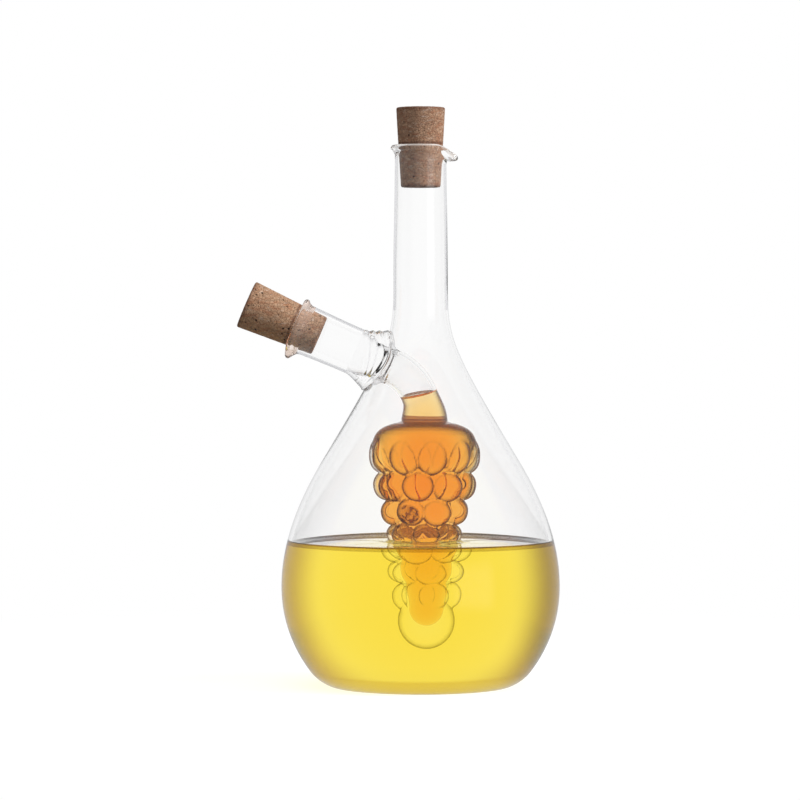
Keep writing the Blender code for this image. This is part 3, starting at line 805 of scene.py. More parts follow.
@dataclass
class Mouth:
    """A fire-polished mouth with a pouring lip, as rings round an axis along +Z.

    The rim is rolled in ROLL_STEPS steps; the later steps, from the one set below on, take the rim
    finish with its painted highlight.
    """

    ROLL_STEPS: ClassVar[int] = 14
    HIGHLIGHT_FROM: ClassVar[int] = 6
    rim_radius: float = 1.1 * MM
    lip_depth: float = 7.0 * MM
    lip_spread: float = 58.0

    def rim(self, outer_radius: float, wall: float, height: float) -> np.ndarray:
        """Outline over the rim, from the outer wall to the inner wall.

        Args:
            outer_radius: Outer radius of the tube below the rim.
            wall: Thickness of the tube.
            height: Height of the rim's top.

        Returns:
            Points of the outline.
        """
        size = self.rim_radius
        roll = arc((outer_radius + 0.35 * size, height - size), size, -75.0, 150.0, self.ROLL_STEPS)
        inner = outer_radius - wall
        last = roll[-1]
        down = (last, last - (0.25 * size, 0.5 * size), (inner, height - size), (inner, height - 2.6 * size))
        return joined(roll, bezier(down, 5))

    def pull(self, rings: np.ndarray, height: float, reach: float, drop: float) -> np.ndarray:
        """Draws the rim out and down on the +X side, as a hot tool does.

        Args:
            rings: Rings of the tube.
            height: Height of the rim's top.
            reach: How far the lip is drawn out.
            drop: How far the lip is drawn down.

        Returns:
            The changed rings.
        """
        pulled = rings.copy()
        away = np.abs(np.degrees(np.arctan2(rings[..., 1], rings[..., 0])))
        rim_depth = 2.0 * self.rim_radius
        below = np.clip(height - rings[..., 2] - rim_depth, 0.0, None)
        share = ease(1.0 - below / (self.lip_depth - rim_depth)) ** 2 * ease(1.0 - away / self.lip_spread)
        radius = np.maximum(np.hypot(rings[..., 0], rings[..., 1]), 1e-9)
        pulled[..., :2] += rings[..., :2] / radius[..., None] * reach * share[..., None]
        pulled[..., 2] -= drop * share
        return pulled


@dataclass
class Flask:
    """The outer bottle: belly, swept shoulder, neck and mouth, with its wall and its floor."""

    effects: Effects
    belly_radius: float = 50.0 * MM
    belly_height: float = 36.0 * MM
    base_radius: float = 33.5 * MM
    base_edge: float = 3.0 * MM
    heel_rise: float = 1.2 * MM
    heel_turn: float = 6.0
    heel_handle: float = 2.6 * MM
    punt: float = 0.5 * MM
    shoulder: Pair = (35.4 * MM, 81.1 * MM)
    shoulder_lean: Pair = (-0.60, 1.0)
    belly_ease: float = 13.7 * MM
    shoulder_ease: float = 16.8 * MM
    neck_sweep: float = 45.0 * MM
    neck_foot: Pair = (9.8 * MM, 150.0 * MM)
    neck_foot_ease: float = 24.5 * MM
    neck_handle: float = 12.0 * MM
    neck_lean: float = 0.05 * MM
    neck_top_radius: float = 9.25 * MM
    mouth_height: float = 194.5 * MM
    base_wall: float = 2.4 * MM
    floor_inset: float = 6.0 * MM
    floor_handle: float = 4.5 * MM
    wall_foot: float = 3.2 * MM
    wall_handle: float = 2.0 * MM
    belly_wall: float = 1.6 * MM
    neck_wall: float = 0.9 * MM
    neck_glass_depth: float = 15.0 * MM
    lip_reach: float = 2.7 * MM
    lip_drop: float = 3.6 * MM
    ripple: float = 0.05 * MM
    ripple_core: float = 8.0 * MM
    oil_line_width: float = 1.6 * MM
    sides: int = 224
    mouth: Mouth = field(default_factory=Mouth)

    def outline(self) -> np.ndarray:
        """Outer outline from the edge of the base to the top of the neck.

        Returns:
            Radius and height of each point.
        """
        belly = np.array([self.belly_radius, self.belly_height])
        shoulder, lean = np.array(self.shoulder), np.array(self.shoulder_lean)
        foot = np.array(self.neck_foot)
        heel = math.degrees(math.asin((self.heel_rise - self.belly_height) / self.belly_radius))
        lower = arc((0.0, self.belly_height), self.belly_radius, heel + self.heel_turn, 0.0, 30)
        below = lower[0] + self.heel_handle * unit(lower[0] - lower[1])
        edge = ((self.base_radius - self.base_edge, 0.0), (self.base_radius, 0.0))
        round_heel = bezier((*edge, below, lower[0]), 8)
        before = shoulder - self.shoulder_ease * lean
        upper = bezier((belly, belly + (0.0, self.belly_ease), before, shoulder), 34)
        sweep_end = foot - (0.0, self.neck_foot_ease)
        sweep = bezier((shoulder, shoulder + self.neck_sweep * lean, sweep_end, foot), 44)
        top = np.array([self.neck_top_radius, self.mouth_height - 0.5 * self.mouth.lip_depth])
        handle = foot + (-self.neck_lean, self.neck_handle)
        neck = bezier((foot, handle, top - (0.0, self.neck_handle), top), 20)
        return joined(round_heel, lower, upper, sweep, neck)

    def radius_at(self, height: Field) -> Field:
        """Outer radius at a height."""
        outline = self.outline()
        return np.interp(height, outline[:, 1], outline[:, 0])

    def lining(self) -> np.ndarray:
        """Inner outline from the middle of the floor to the top of the neck.

        Returns:
            Radius and height of each point.
        """
        outline = self.outline()
        share = ease((outline[:, 1] - self.belly_height) / (self.neck_foot[1] - self.belly_height))
        inner = outline - outward(outline) * blend(self.belly_wall, self.neck_wall, share)[:, None]
        wall = inner[inner[:, 1] > self.base_wall + self.wall_foot]
        floor = (self.base_radius - self.floor_inset, self.base_wall)
        along = (floor[0] + self.floor_handle, self.base_wall)
        below = wall[0] + self.wall_handle * unit(wall[0] - wall[1])
        bend = bezier((floor, along, below, wall[0]), 8)
        middle = np.stack([np.linspace(0.0, floor[0], 8), np.full(8, self.base_wall)], axis=1)
        return joined(middle, bend, wall)

    def rippled(self, rings: np.ndarray) -> np.ndarray:
        """Lets the inner wall wander a little, as blown glass does.

        Args:
            rings: Rings of the smooth wall.

        Returns:
            The changed rings.
        """
        turn = np.arctan2(rings[..., 1], rings[..., 0])
        rise = rings[..., 2] / self.belly_radius
        wander = np.sin(2 * turn + 3.1 * rise) + 0.6 * np.sin(3 * turn - 5.3 * rise + 1.0)
        radius = np.maximum(np.hypot(rings[..., 0], rings[..., 1]), self.ripple_core)
        moved = rings.copy()
        moved[..., :2] *= (1.0 + self.ripple * wander / radius)[..., None]
        return moved

    def build(self, oil_line: float, cutter: bpy.types.Object) -> None:
        """Builds the flask with the hole for the spout.

        Args:
            oil_line: Height up to which the oil wets the inner wall.
            cutter: Plug that the hole is cut with; it is removed afterwards.
        """
        inset = self.base_radius - self.base_edge
        base = np.stack([np.linspace(0.0, inset, 8), np.zeros(8)], axis=1)
        base[:, 1] = self.punt * (1.0 - ease(base[:, 0] / inset))
        lining = self.lining()
        brim = oil_line - self.oil_line_width
        for level in (brim, oil_line):
            split = np.searchsorted(lining[:, 1], level)
            spot = (np.interp(level, lining[:, 1], lining[:, 0]), level)
            lining = np.insert(lining, split, spot, axis=0)
        rim = self.mouth.rim(self.neck_top_radius, self.neck_wall, self.mouth_height)
        outside = turned(joined(base, self.outline(), rim), self.sides)
        rings = np.concatenate([outside, self.rippled(turned(lining[::-1], self.sides))])
        rings = self.mouth.pull(rings, self.mouth_height, self.lip_reach, self.lip_drop)
        roll = len(outside) - len(rim)

        def slot_of(rows: np.ndarray, middles: np.ndarray) -> np.ndarray:
            """Slots of the flask's faces, the last rule that holds for a face counting.

            Args:
                rows: Index of the ring before each face.
                middles: Middle of each face.

            Returns:
                The slot of each face.
            """
            height = middles[:, 2]
            wet = height < oil_line
            slots = np.full(len(rows), FlaskSide.OPEN)
            slots[wet & (rows < len(outside))] = FlaskSide.BESIDE_OIL
            slots[wet & (rows >= len(outside))] = FlaskSide.OILED
            slots[wet & (rows >= len(outside)) & (height > brim)] = FlaskSide.OIL_LINE
            slots[(rows < roll) & (height > self.neck_foot[1] - self.neck_glass_depth)] = FlaskSide.NECK
            slots[(rows >= roll + Mouth.HIGHLIGHT_FROM) & (rows < roll + Mouth.ROLL_STEPS)] = FlaskSide.RIM
            return slots

        finishes = (CLEAR_GLASS, OILED_GLASS, OIL_WALL, RIM_GLASS, TUBE_GLASS, OIL_LINE)
        piece = skin("flask_glass", rings, self.effects.materials(*finishes), slot_of)
        cutter.data.materials.append(piece.data.materials[FlaskSide.OPEN])
        step = piece.modifiers.new("spout hole", "BOOLEAN")
        step.operation = "DIFFERENCE"
        step.object = cutter
        piece.data = bpy.data.meshes.new_from_object(
            piece.evaluated_get(bpy.context.evaluated_depsgraph_get())
        )
        piece.modifiers.clear()
        piece.data.shade_smooth()
        bpy.data.objects.remove(cutter)
        seat(piece, "glass", "glass", "flask")


@dataclass
class Spout:
    """The vinegar's way in: mouth, tube, pleated seal and the elbow down to the bunch."""

    flask: Flask
    lean: float = 23.5
    height: float = 116.8 * MM
    radius: float = 8.5 * MM
    mouth_radius: float = 8.9 * MM
    wall: float = 0.9 * MM
    reach: float = 33.0 * MM
    lip_reach: float = 1.6 * MM
    lip_drop: float = 1.2 * MM
    tube_gap: float = 0.6 * MM
    mouth_handle: float = 6.0 * MM
    seal_length: float = 9.0 * MM
    hub_radius: float = 8.9 * MM
    hub_depth: float = 5.2 * MM
    hub_top: float = 2.2 * MM
    flange: Pair = (11.8 * MM, 10.4 * MM)
    flange_edge: float = 0.8 * MM
    fold_depth: float = 0.30 * MM
    folds: float = 3.4
    pleat_steps: int = 30
    elbow_radius: float = 6.55 * MM
    foot_radius: float = 8.3 * MM
    elbow_wall: float = 1.1 * MM
    elbow_run: float = 7.0 * MM
    elbow_fall: float = 10.0 * MM
    flare_share: float = 0.34
    vessel_offset: float = 1.4 * MM
    vessel_top: float = 95.2 * MM
    throat_steps: int = 14
    throat_gap: float = 0.3 * MM
    seam: float = 0.1 * MM
    plug: Pair = (-14.0 * MM, 16.0 * MM)
    sides: int = 144
    mouth: Mouth = field(default_factory=Mouth)

    def matrix(self) -> Matrix:
        """Frame of the spout: origin on the flask's wall, +Z outwards, +X on the low side.

        Returns:
            The frame, seen from the bottle's.
        """
        lean = math.radians(self.lean)
        root = Vector((-float(self.flask.radius_at(self.height)), 0.0, self.height))
        outwards = Vector((-math.cos(lean), 0.0, math.sin(lean)))
        lower = Vector((-math.sin(lean), 0.0, -math.cos(lean)))
        turn = Matrix((lower, outwards.cross(lower), outwards)).transposed().to_4x4()
        return Matrix.Translation(root) @ turn

    def wall_depth(self, across: np.ndarray, beside: np.ndarray) -> np.ndarray:
        """Finds where lines along the spout's axis meet the flask's outer wall, by halving.

        Args:
            across: Place of each line towards the low side.
            beside: Place of each line to the side.

        Returns:
            Height of each meeting point in the spout's frame.
        """
        outline = self.flask.outline()
        low = np.full(across.shape, -self.flask.neck_foot[0])
        high = np.full(across.shape, 0.5 * self.flask.belly_radius)
        matrix = self.matrix()
        for _ in range(34):
            middle = 0.5 * (low + high)
            spots = placed(np.stack([across, beside, middle], axis=-1), matrix)
            wall = np.interp(spots[..., 2], outline[:, 1], outline[:, 0])
            outside = np.hypot(spots[..., 0], spots[..., 1]) > wall
            high = np.where(outside, middle, high)
            low = np.where(outside, low, middle)
        return high

    def ring(self, radius: Field, height: Field, on_wall: bool = False) -> np.ndarray:
        """One ring in the spout's frame.

        Args:
            radius: Radius, for each point or for all.
            height: Height along the axis, or over the flask's wall.
            on_wall: True measures the height from the flask's wall.

        Returns:
            The ring's points.
        """
        ring = round_axis(radius, full_turn(self.sides), height)
        if on_wall:
            ring[:, 2] += self.wall_depth(ring[:, 0], ring[:, 1])
        return ring

    def seal_rings(self) -> tuple[np.ndarray, np.ndarray]:
        """Rings of the seal's outer face, from inside the flask to the foot of the tube.

        Returns:
            The rings, and the painted shade in the folds between the pleats from 0 to 1, stronger on one
            side.
        """
        turn = full_turn(self.sides)
        flange = np.hypot(self.flange[0] * np.cos(turn), self.flange[1] * np.sin(turn))
        rings = []
        for share in np.linspace(0.0, 1.0, 7)[:-1]:
            radius = blend(self.elbow_radius, self.hub_radius, share**2.2)
            rings.append(self.ring(radius, blend(-self.hub_depth, -self.hub_top, share)))
        for share in (0.0, 0.5, 0.9):
            rings.append(self.ring(blend(self.hub_radius, flange, share), self.seam, on_wall=True))
        rings.append(self.ring(flange, self.seam + 0.5 * self.flange_edge, on_wall=True))
        start = self.ring(0.985 * flange, self.seam + self.flange_edge, on_wall=True)
        depths = [np.zeros(self.sides)] * len(rings)
        pinch = 0.30 + 0.35 * (1.0 - np.cos(turn))
        for share in np.arange(self.pleat_steps + 1) / self.pleat_steps:
            inward = ease(share) * 0.35 + 0.65 * share**0.55
            phase = 2 * np.pi * (self.folds * np.minimum(share / pinch, 1.0) - 0.25 * np.sin(turn) + 0.1)
            fade = math.sin(math.pi * share) ** 0.5
            radius = blend(np.hypot(start[:, 0], start[:, 1]), self.radius, inward)
            radius += self.fold_depth * fade * np.sin(phase)
            rings.append(round_axis(radius, turn, blend(start[:, 2], self.seal_length, share)))
            depths.append(fade * np.clip(-np.sin(phase), 0.0, 1.0) ** 5 * (0.6 + 0.4 * np.cos(turn - 0.5)))
        return np.stack(rings), np.stack(depths)

    def tube_outline(self) -> np.ndarray:
        """Outer outline of the tube in the spout's frame, from the seal to below the rim.

        Returns:
            Radius and height of each point.
        """
        foot = (self.radius, self.seal_length + self.tube_gap)
        top = (self.mouth_radius, self.reach - 0.5 * self.mouth.lip_depth)
        middle = 0.5 * (foot[1] + top[1])
        return bezier((foot, (self.radius, middle), (self.mouth_radius, top[1] - self.mouth_handle), top), 14)

    def elbow_rings(self, inset: float) -> np.ndarray:
        """Rings along the elbow, from the seal down to the bunch.

        Args:
            inset: How far they lie inside its outer wall.

        Returns:
            The rings.
        """
        matrix = self.matrix()
        outwards = np.array(matrix.col[2][:3])
        start = np.array(matrix @ Vector((0.0, 0.0, -self.hub_depth)))
        end = np.array([self.vessel_offset, 0.0, self.vessel_top])
        over_end = end + (0.0, 0.0, self.elbow_fall)
        points = bezier((start, start - self.elbow_run * outwards, over_end, end), 30)
        back = unit(-np.gradient(points, axis=0))
        back[0], back[-1] = outwards, (0.0, 0.0, 1.0)
        share = (np.linspace(0.0, 1.0, len(points)) - 1 + self.flare_share) / self.flare_share
        radius = blend(self.elbow_radius, self.foot_radius, ease(share)) - inset
        side = np.array([0.0, -1.0, 0.0])
        lower = np.cross(side, back)
        turn = full_turn(self.sides)[None, :, None]
        across = np.cos(turn) * lower[:, None, :] + np.sin(turn) * side
        return points[:, None, :] + radius[:, None, None] * across

    def mouth_rings(self) -> np.ndarray:
        """Rings of the tube, over its rim and down its bore to the elbow.

        Returns:
            The rings, in the bottle's frame.
        """
        tube = self.tube_outline()
        rim = self.mouth.rim(self.mouth_radius, self.wall, self.reach)
        rings = turned(joined(tube, rim, tube[::-1] - (self.wall, 0.0)), self.sides)
        rings = self.mouth.pull(rings, self.reach, self.lip_reach, self.lip_drop)
        wide, narrow = self.radius - self.wall, self.elbow_radius - self.elbow_wall
        top = ((wide, self.seal_length), (wide, 0.25 * self.seal_length))
        foot = ((narrow, 0.45 * self.seal_length), (narrow, self.throat_gap - self.hub_depth))
        throat = turned(bezier((*top, *foot), self.throat_steps), self.sides)
        return placed(np.concatenate([rings, throat]), self.matrix())

    def hole_plug(self) -> bpy.types.Object:
        """Plug for the hole in the flask, a hair wider than the seal's hub.

        Returns:
            The plug, which the flask is cut with.
        """
        radius = self.hub_radius + self.seam
        low, high = self.plug
        outline = np.array([(0.0, low), (radius, low), (radius, high), (0.0, high)])
        return skin("hole_plug", placed(turned(outline, 96), self.matrix()), [])


@dataclass(frozen=True)
class DropRow:
    """One row of glass drops round the core; its turn is in degrees, and rise stretches them upwards."""

    count: int
    height: float
    half_width: float
    half_height: float
    bulge: float
    turn: float
    rise: float = 1.0


BUNCH_ROWS = (
    DropRow(10, 82.3 * MM, 5.20 * MM, 5.1 * MM, 5.2 * MM, -27.0, 1.7),
    DropRow(8, 72.1 * MM, 5.45 * MM, 4.7 * MM, 5.1 * MM, -10.0),
    DropRow(8, 62.9 * MM, 5.00 * MM, 4.3 * MM, 4.9 * MM, -24.0),
    DropRow(7, 54.7 * MM, 4.70 * MM, 3.5 * MM, 4.5 * MM, 3.0),
    DropRow(6, 46.9 * MM, 4.50 * MM, 3.4 * MM, 3.9 * MM, -20.0),
    DropRow(6, 40.3 * MM, 4.10 * MM, 2.9 * MM, 3.5 * MM, 10.0),
    DropRow(4, 33.9 * MM, 4.00 * MM, 3.2 * MM, 3.3 * MM, -70.0),
)


@dataclass(frozen=True)
class ShoulderShade:
    """Painted shade on the bunch's shoulder: a dark crescent in place of one that refraction shows. Its
    place, and how far it reaches round and up.
    """

    heading: float = math.radians(-24.0)
    height: float = 87.5 * MM
    spread: float = math.radians(15.0)
    reach: float = 7.0 * MM
    strength: float = 0.85

    def depth(self, turn: np.ndarray, height: np.ndarray) -> np.ndarray:
        """Strength of the painted shade at each direction and height."""
        across = turn_between(turn, self.heading) / self.spread
        return self.strength * ease(1.25 - np.hypot(across, (height - self.height) / self.reach))


@dataclass
class Bunch:
    """The vinegar's vessel: a smooth core with glass drops melted on to it, like a bunch of grapes."""

    spout: Spout
    wall: float = 1.2 * MM
    shoulder: Pair = (15.0 * MM, 84.0 * MM)
    end_radius: float = 5.3 * MM
    end_height: float = 30.5 * MM
    swell: float = 16.0 * MM
    taper: float = 17.0 * MM
    tip_radius: float = 6.95 * MM
    tip_height: float = 27.6 * MM
    wander: float = 0.2 * MM
    crease: float = 0.50 * MM
    overlap: float = 1.18
    moat: float = 0.4 * MM
    groove: float = 0.6 * MM
    neck: float = 0.8 * MM
    hollow_from: float = 51.0 * MM
    hollow_over: float = 5.0 * MM
    filled_over: float = 8.0 * MM
    creased_over: float = 6.0 * MM
    lower_top: float = 76.5 * MM
    upright_from: float = 81.0 * MM
    upright_over: float = 5.0 * MM
    shaded_drop: tuple[int, int] = (2, 0)
    shoulder_shade: ShoulderShade = ShoulderShade()
    step: float = 0.45 * MM
    sides: int = 288

    def turn(self) -> np.ndarray:
        """Directions of the points of a ring; the first lies over that of the elbow."""
        return full_turn(self.sides, np.pi)

    def outline(self) -> np.ndarray:
        """Outer outline of the core from its closed end to its open top, at even steps.

        Returns:
            Radius and height of each point.
        """
        end = np.array([self.end_radius, self.end_height])
        shoulder = np.array(self.shoulder)
        mouth = np.array([self.spout.foot_radius, self.spout.vessel_top])
        crest = 0.55 * (mouth[1] - shoulder[1])
        cap = arc((0.0, self.end_height), self.end_radius, -90.0, 0.0, 12)
        body = bezier((end, end + (0.0, self.taper), shoulder - (0.0, self.swell), shoulder), 60)
        inward = mouth + (0.5 * (shoulder[0] - mouth[0]), -0.12 * crest)
        top = bezier((shoulder, shoulder + (0.0, crest), inward, mouth), 24)
        return evenly(joined(cap, body, top), self.step)

    def shoulder_swell(self, height: np.ndarray) -> np.ndarray:
        """How far the bunch's rounded shoulder stands out from the core at each height.

        Args:
            height: The heights.

        Returns:
            The distance at each of them.
        """
        heights = np.array([78.0, 79.5, 81.0, 83.0, 86.0, 88.5, 90.5, 92.0, 93.1, 94.0, 94.7]) * MM
        swell = np.array([-0.5, 1.6, 2.6, 3.3, 3.9, 4.1, 4.0, 3.5, 2.6, 1.3, 0.0]) * MM
        return np.interp(height, heights, swell, right=0.0)

    def tip_swell(self, outline: np.ndarray) -> np.ndarray:
        """How far the round drop at the lower end stands out from the core.

        Args:
            outline: Outline of the core.

        Returns:
            The height over each point, which is below 0 away from the drop.
        """
        offsets = outline - (0.0, self.tip_height)
        reach = np.sum(offsets * outward(outline), axis=1)
        inside = reach**2 - np.sum(offsets**2, axis=1) + self.tip_radius**2
        return np.maximum(np.where(inside > 0, np.sqrt(np.maximum(inside, 0.0)) - reach, -MM), -MM)

    def drop(self, row: DropRow, index: int, outline: np.ndarray, turn: np.ndarray) -> tuple[np.ndarray, ...]:
        """One drop of the bunch.

        Args:
            row: Its row.
            index: Its number in the row.
            outline: Outline of the core.
            turn: Directions round the axis.

        Returns:
            Its height over the core, how far out from its middle each place lies, with 1 at its edge,
            and how far up.
        """
        places = lengths_along(outline)
        height = row.height + self.wander * math.sin(2.4 * index + row.count)
        heading = math.radians(-90.0 + row.turn) + 2 * math.pi * index / row.count
        radius = float(np.interp(height, outline[:, 1], outline[:, 0]))
        wide = turn_between(turn, heading) * (radius + 0.42 * row.bulge) / row.half_width
        tall = (places[:, None] - np.interp(height, outline[:, 1], places)) / row.half_height
        tall = tall / np.where(tall > 0.0, row.rise, 1.0)
        out = np.hypot(wide, tall) / self.overlap
        return row.bulge * np.clip(1.0 - out**2.3, 0.0, None) ** 0.58 - self.moat * (out > 1.0), out, tall

    def lift(self, outline: np.ndarray, turn: np.ndarray) -> tuple[np.ndarray, np.ndarray]:
        """Height of the glass over the core, for each point of its outline and each direction.

        Args:
            outline: Outline of the core.
            turn: Directions round the axis.

        Returns:
            That field and the strength of the painted shade from 0 to 1, in the creases between the
            drops, over one whole drop and on a crescent of the shoulder, with one row for each point of the
            outline.
        """
        heights = outline[:, 1:]
        flat = np.zeros((len(outline), len(turn)))
        lift = smooth_max(flat, self.tip_swell(outline)[:, None], self.crease)
        lift = smooth_max(lift, self.shoulder_swell(heights), self.crease)
        crease = flat
        for level, row in enumerate(BUNCH_ROWS):
            for index in range(row.count):
                drop, out, tall = self.drop(row, index, outline, turn)
                seam = np.clip(1.35 - np.abs(lift - drop) / (0.62 * self.crease), 0.0, 1.0) * (out < 1.0)
                seam *= ease(1.0 - 1.6 * (row.rise - 1.0) * np.clip(tall, 0.0, None))
                crease = np.where(drop > lift + self.crease, seam, np.maximum(crease, seam))
                # painted shade: one drop of the third row is darkened all over
                if (level, index) == self.shaded_drop:
                    crease = np.maximum(crease, ease((0.74 - out) / 0.10))
                lift = smooth_max(lift, drop, self.crease)
        lift = lift * ease((self.spout.vessel_top - heights) / self.neck)
        lift[0] = lift[0].mean()
        crease = crease * ease((heights - self.end_height) / self.creased_over)
        # the painted shade of the shoulder's dark crescent is added to that of the creases
        return lift, np.maximum(crease, self.shoulder_shade.depth(turn, heights))

    def rings(self, outline: np.ndarray, depth: np.ndarray, turn: np.ndarray) -> np.ndarray:
        """Rings that stand out from the core, square to it, but level round its shoulder.

        Args:
            outline: Outline of the core.
            depth: How far out each point lies.
            turn: Directions round the axis.

        Returns:
            The rings.
        """
        level = ease((outline[:, 1:] - self.upright_from) / self.upright_over)
        leaning = unit(blend(outward(outline), np.array([1.0, 0.0]), level))
        radius = outline[:, :1] + leaning[:, :1] * depth
        radius[0] = 0.0
        return round_axis(radius, turn, outline[:, 1:] + leaning[:, 1:] * depth, self.spout.vessel_offset)

    def outer_rings(self) -> tuple[np.ndarray, np.ndarray]:
        """Rings of the outer face, from the tip to the top, and the strength of its painted shade.

        Returns:
            The rings, and for each of their points the strength from 0 to 1.
        """
        outline, turn = self.outline(), self.turn()
        top = (self.spout.vessel_top - outline[:, 1:]) / self.neck
        lift, crease = self.lift(outline, turn)
        return self.rings(outline, lift - self.groove * np.exp(-(top**2)), turn), crease

    def inner_rings(self, outset: float = 0.0) -> np.ndarray:
        """Rings of the lining, from the closed end to the top.

        The drops over the oil are hollow, those in the oil are solid.

        Args:
            outset: How far the rings are set into the glass.

        Returns:
            The rings.
        """
        spout = self.spout
        outline = evenly(self.outline(), 1.9 * self.step)
        turn = self.turn()[:: self.sides // spout.sides]
        lift, _ = self.lift(outline, turn)
        height = outline[:, 1:]
        hollow = ease((height - self.hollow_from) / self.hollow_over)
        filled = 0.4 * ease((height - self.end_height) / self.filled_over)
        depth = blend(filled * lift.mean(axis=1)[:, None], lift, hollow) - self.wall + outset
        below = height[:, 0] < spout.vessel_top - 0.5 * self.step
        mouth = np.array([(spout.foot_radius - spout.elbow_wall + outset, spout.vessel_top)])
        mouth = turned(mouth, spout.sides, spout.vessel_offset, np.pi)
        return np.concatenate([self.rings(outline, depth, turn)[below], mouth])


@dataclass(frozen=True)
class VinegarLine:
    """Where the vinegar stands in the elbow; it climbs the far wall of the bend a little."""

    level: float
    tilt: Pair = (0.19, 0.10)
    offset: float = -1.2 * MM

    def over(self, points: np.ndarray) -> np.ndarray:
        """Height of points over the line."""
        rise = self.tilt[0] * (points[..., 0] - self.offset) + self.tilt[1] * points[..., 1]
        return points[..., 2] - self.level - rise


@dataclass
class VinegarVessel:
    """Spout, seal, elbow and bunch as one run of glass, outside and inside."""

    effects: Effects
    spout: Spout
    bunch: Bunch
    joint: float = 0.8 * MM

    def build(self, oil_line: float, vinegar: VinegarLine) -> None:
        """Builds the vessel.

        Args:
            oil_line: Height up to which oil wets the outside.
            vinegar: The vinegar's edge inside.
        """
        spout = self.spout
        outer = spout.elbow_rings(0.0)[::-1]
        foot, outer = split_columns(outer, outer[..., 2] - spout.vessel_top - self.joint, 2, 30)
        stained, plain = split_columns(outer, vinegar.over(outer), 8, 24)
        inner = spout.elbow_rings(spout.elbow_wall)
        dry, wet = split_columns(inner, vinegar.over(inner), 24, 10)
        bunch, crease = self.bunch.outer_rings()
        seal, folds = spout.seal_rings()
        parts = (
            bunch[:-1], foot, stained[1:], plain[1:], placed(seal, spout.matrix()), spout.mouth_rings(),
            dry, wet[1:], self.bunch.inner_rings()[::-1][1:],
        )
        rings = [ring for part in parts for ring in part]
        lasts = np.cumsum([len(part) for part in parts]) - 1
        _, foot_last, stain_last, plain_last, seal_last, mouth_last, dry_last, wet_last, _ = lasts
        rim_first = seal_last + len(spout.tube_outline()) - 1
        bands = (
            (VesselSide.STAINED, foot_last, stain_last),
            (VesselSide.SEAL, plain_last, seal_last),
            (VesselSide.SEAL, mouth_last - spout.throat_steps, mouth_last),
            (VesselSide.TUBE, seal_last, rim_first),
            (VesselSide.RIM, rim_first, rim_first + Mouth.ROLL_STEPS),
            (VesselSide.ELBOW, dry_last, wet_last + 1),
            (VesselSide.SOAKED, wet_last + 1, len(rings)),
        )

        def slot_of(rows: np.ndarray, middles: np.ndarray) -> np.ndarray:
            """Slots of the vessel's faces, the last rule that holds for a face counting.

            Args:
                rows: Index of the ring before each face.
                middles: Middle of each face.

            Returns:
                The slot of each face.
            """
            height = middles[:, 2]
            slots = np.full(len(rows), VesselSide.OPEN)
            slots[rows < foot_last] = VesselSide.BUNCH
            slots[(rows < foot_last) & (height < self.bunch.lower_top)] = VesselSide.LOWER_BUNCH
            slots[(rows < foot_last) & (height < oil_line)] = VesselSide.OILED_BUNCH
            slots[(rows < foot_last) & (height > spout.vessel_top - self.joint)] = VesselSide.JOINT
            for side, first, end in bands:
                slots[(rows >= first) & (rows < end)] = side
            return slots

        bunch_glass = (BUNCH_GLASS, LOWER_BUNCH, OILED_BUNCH, SOAKED_GLASS)
        finishes = (STAINED_GLASS, JOINT_GLASS, SEAL_GLASS, SPOUT_RIM, ELBOW_LINING, SPOUT_GLASS)
        materials = self.effects.materials(CLEAR_GLASS, *bunch_glass, *finishes)
        piece = skin("vinegar_glass", rings, materials, slot_of)
        # painted shade for the crease colour: the bunch's creases, one whole drop and a crescent on its
        # shoulder, and the folds of the seal
        depths = np.zeros(len(piece.data.vertices))
        starts = np.cumsum([0, 1, *(len(ring) for ring in rings[1:])])
        depths[starts[1] : starts[len(bunch) - 1]] = crease[1:-1].ravel()
        depths[starts[plain_last] : starts[seal_last]] = folds.ravel()
        mark(piece, CREASE_SHADE, depths)
        drops = sorted(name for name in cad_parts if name.startswith("grape_"))
        tubes = ("spout_tube", "spout_seal", "vinegar_elbow", "vinegar_vessel")
        seat(piece, "glass", "glass", *tubes, "tip_drop", *drops)


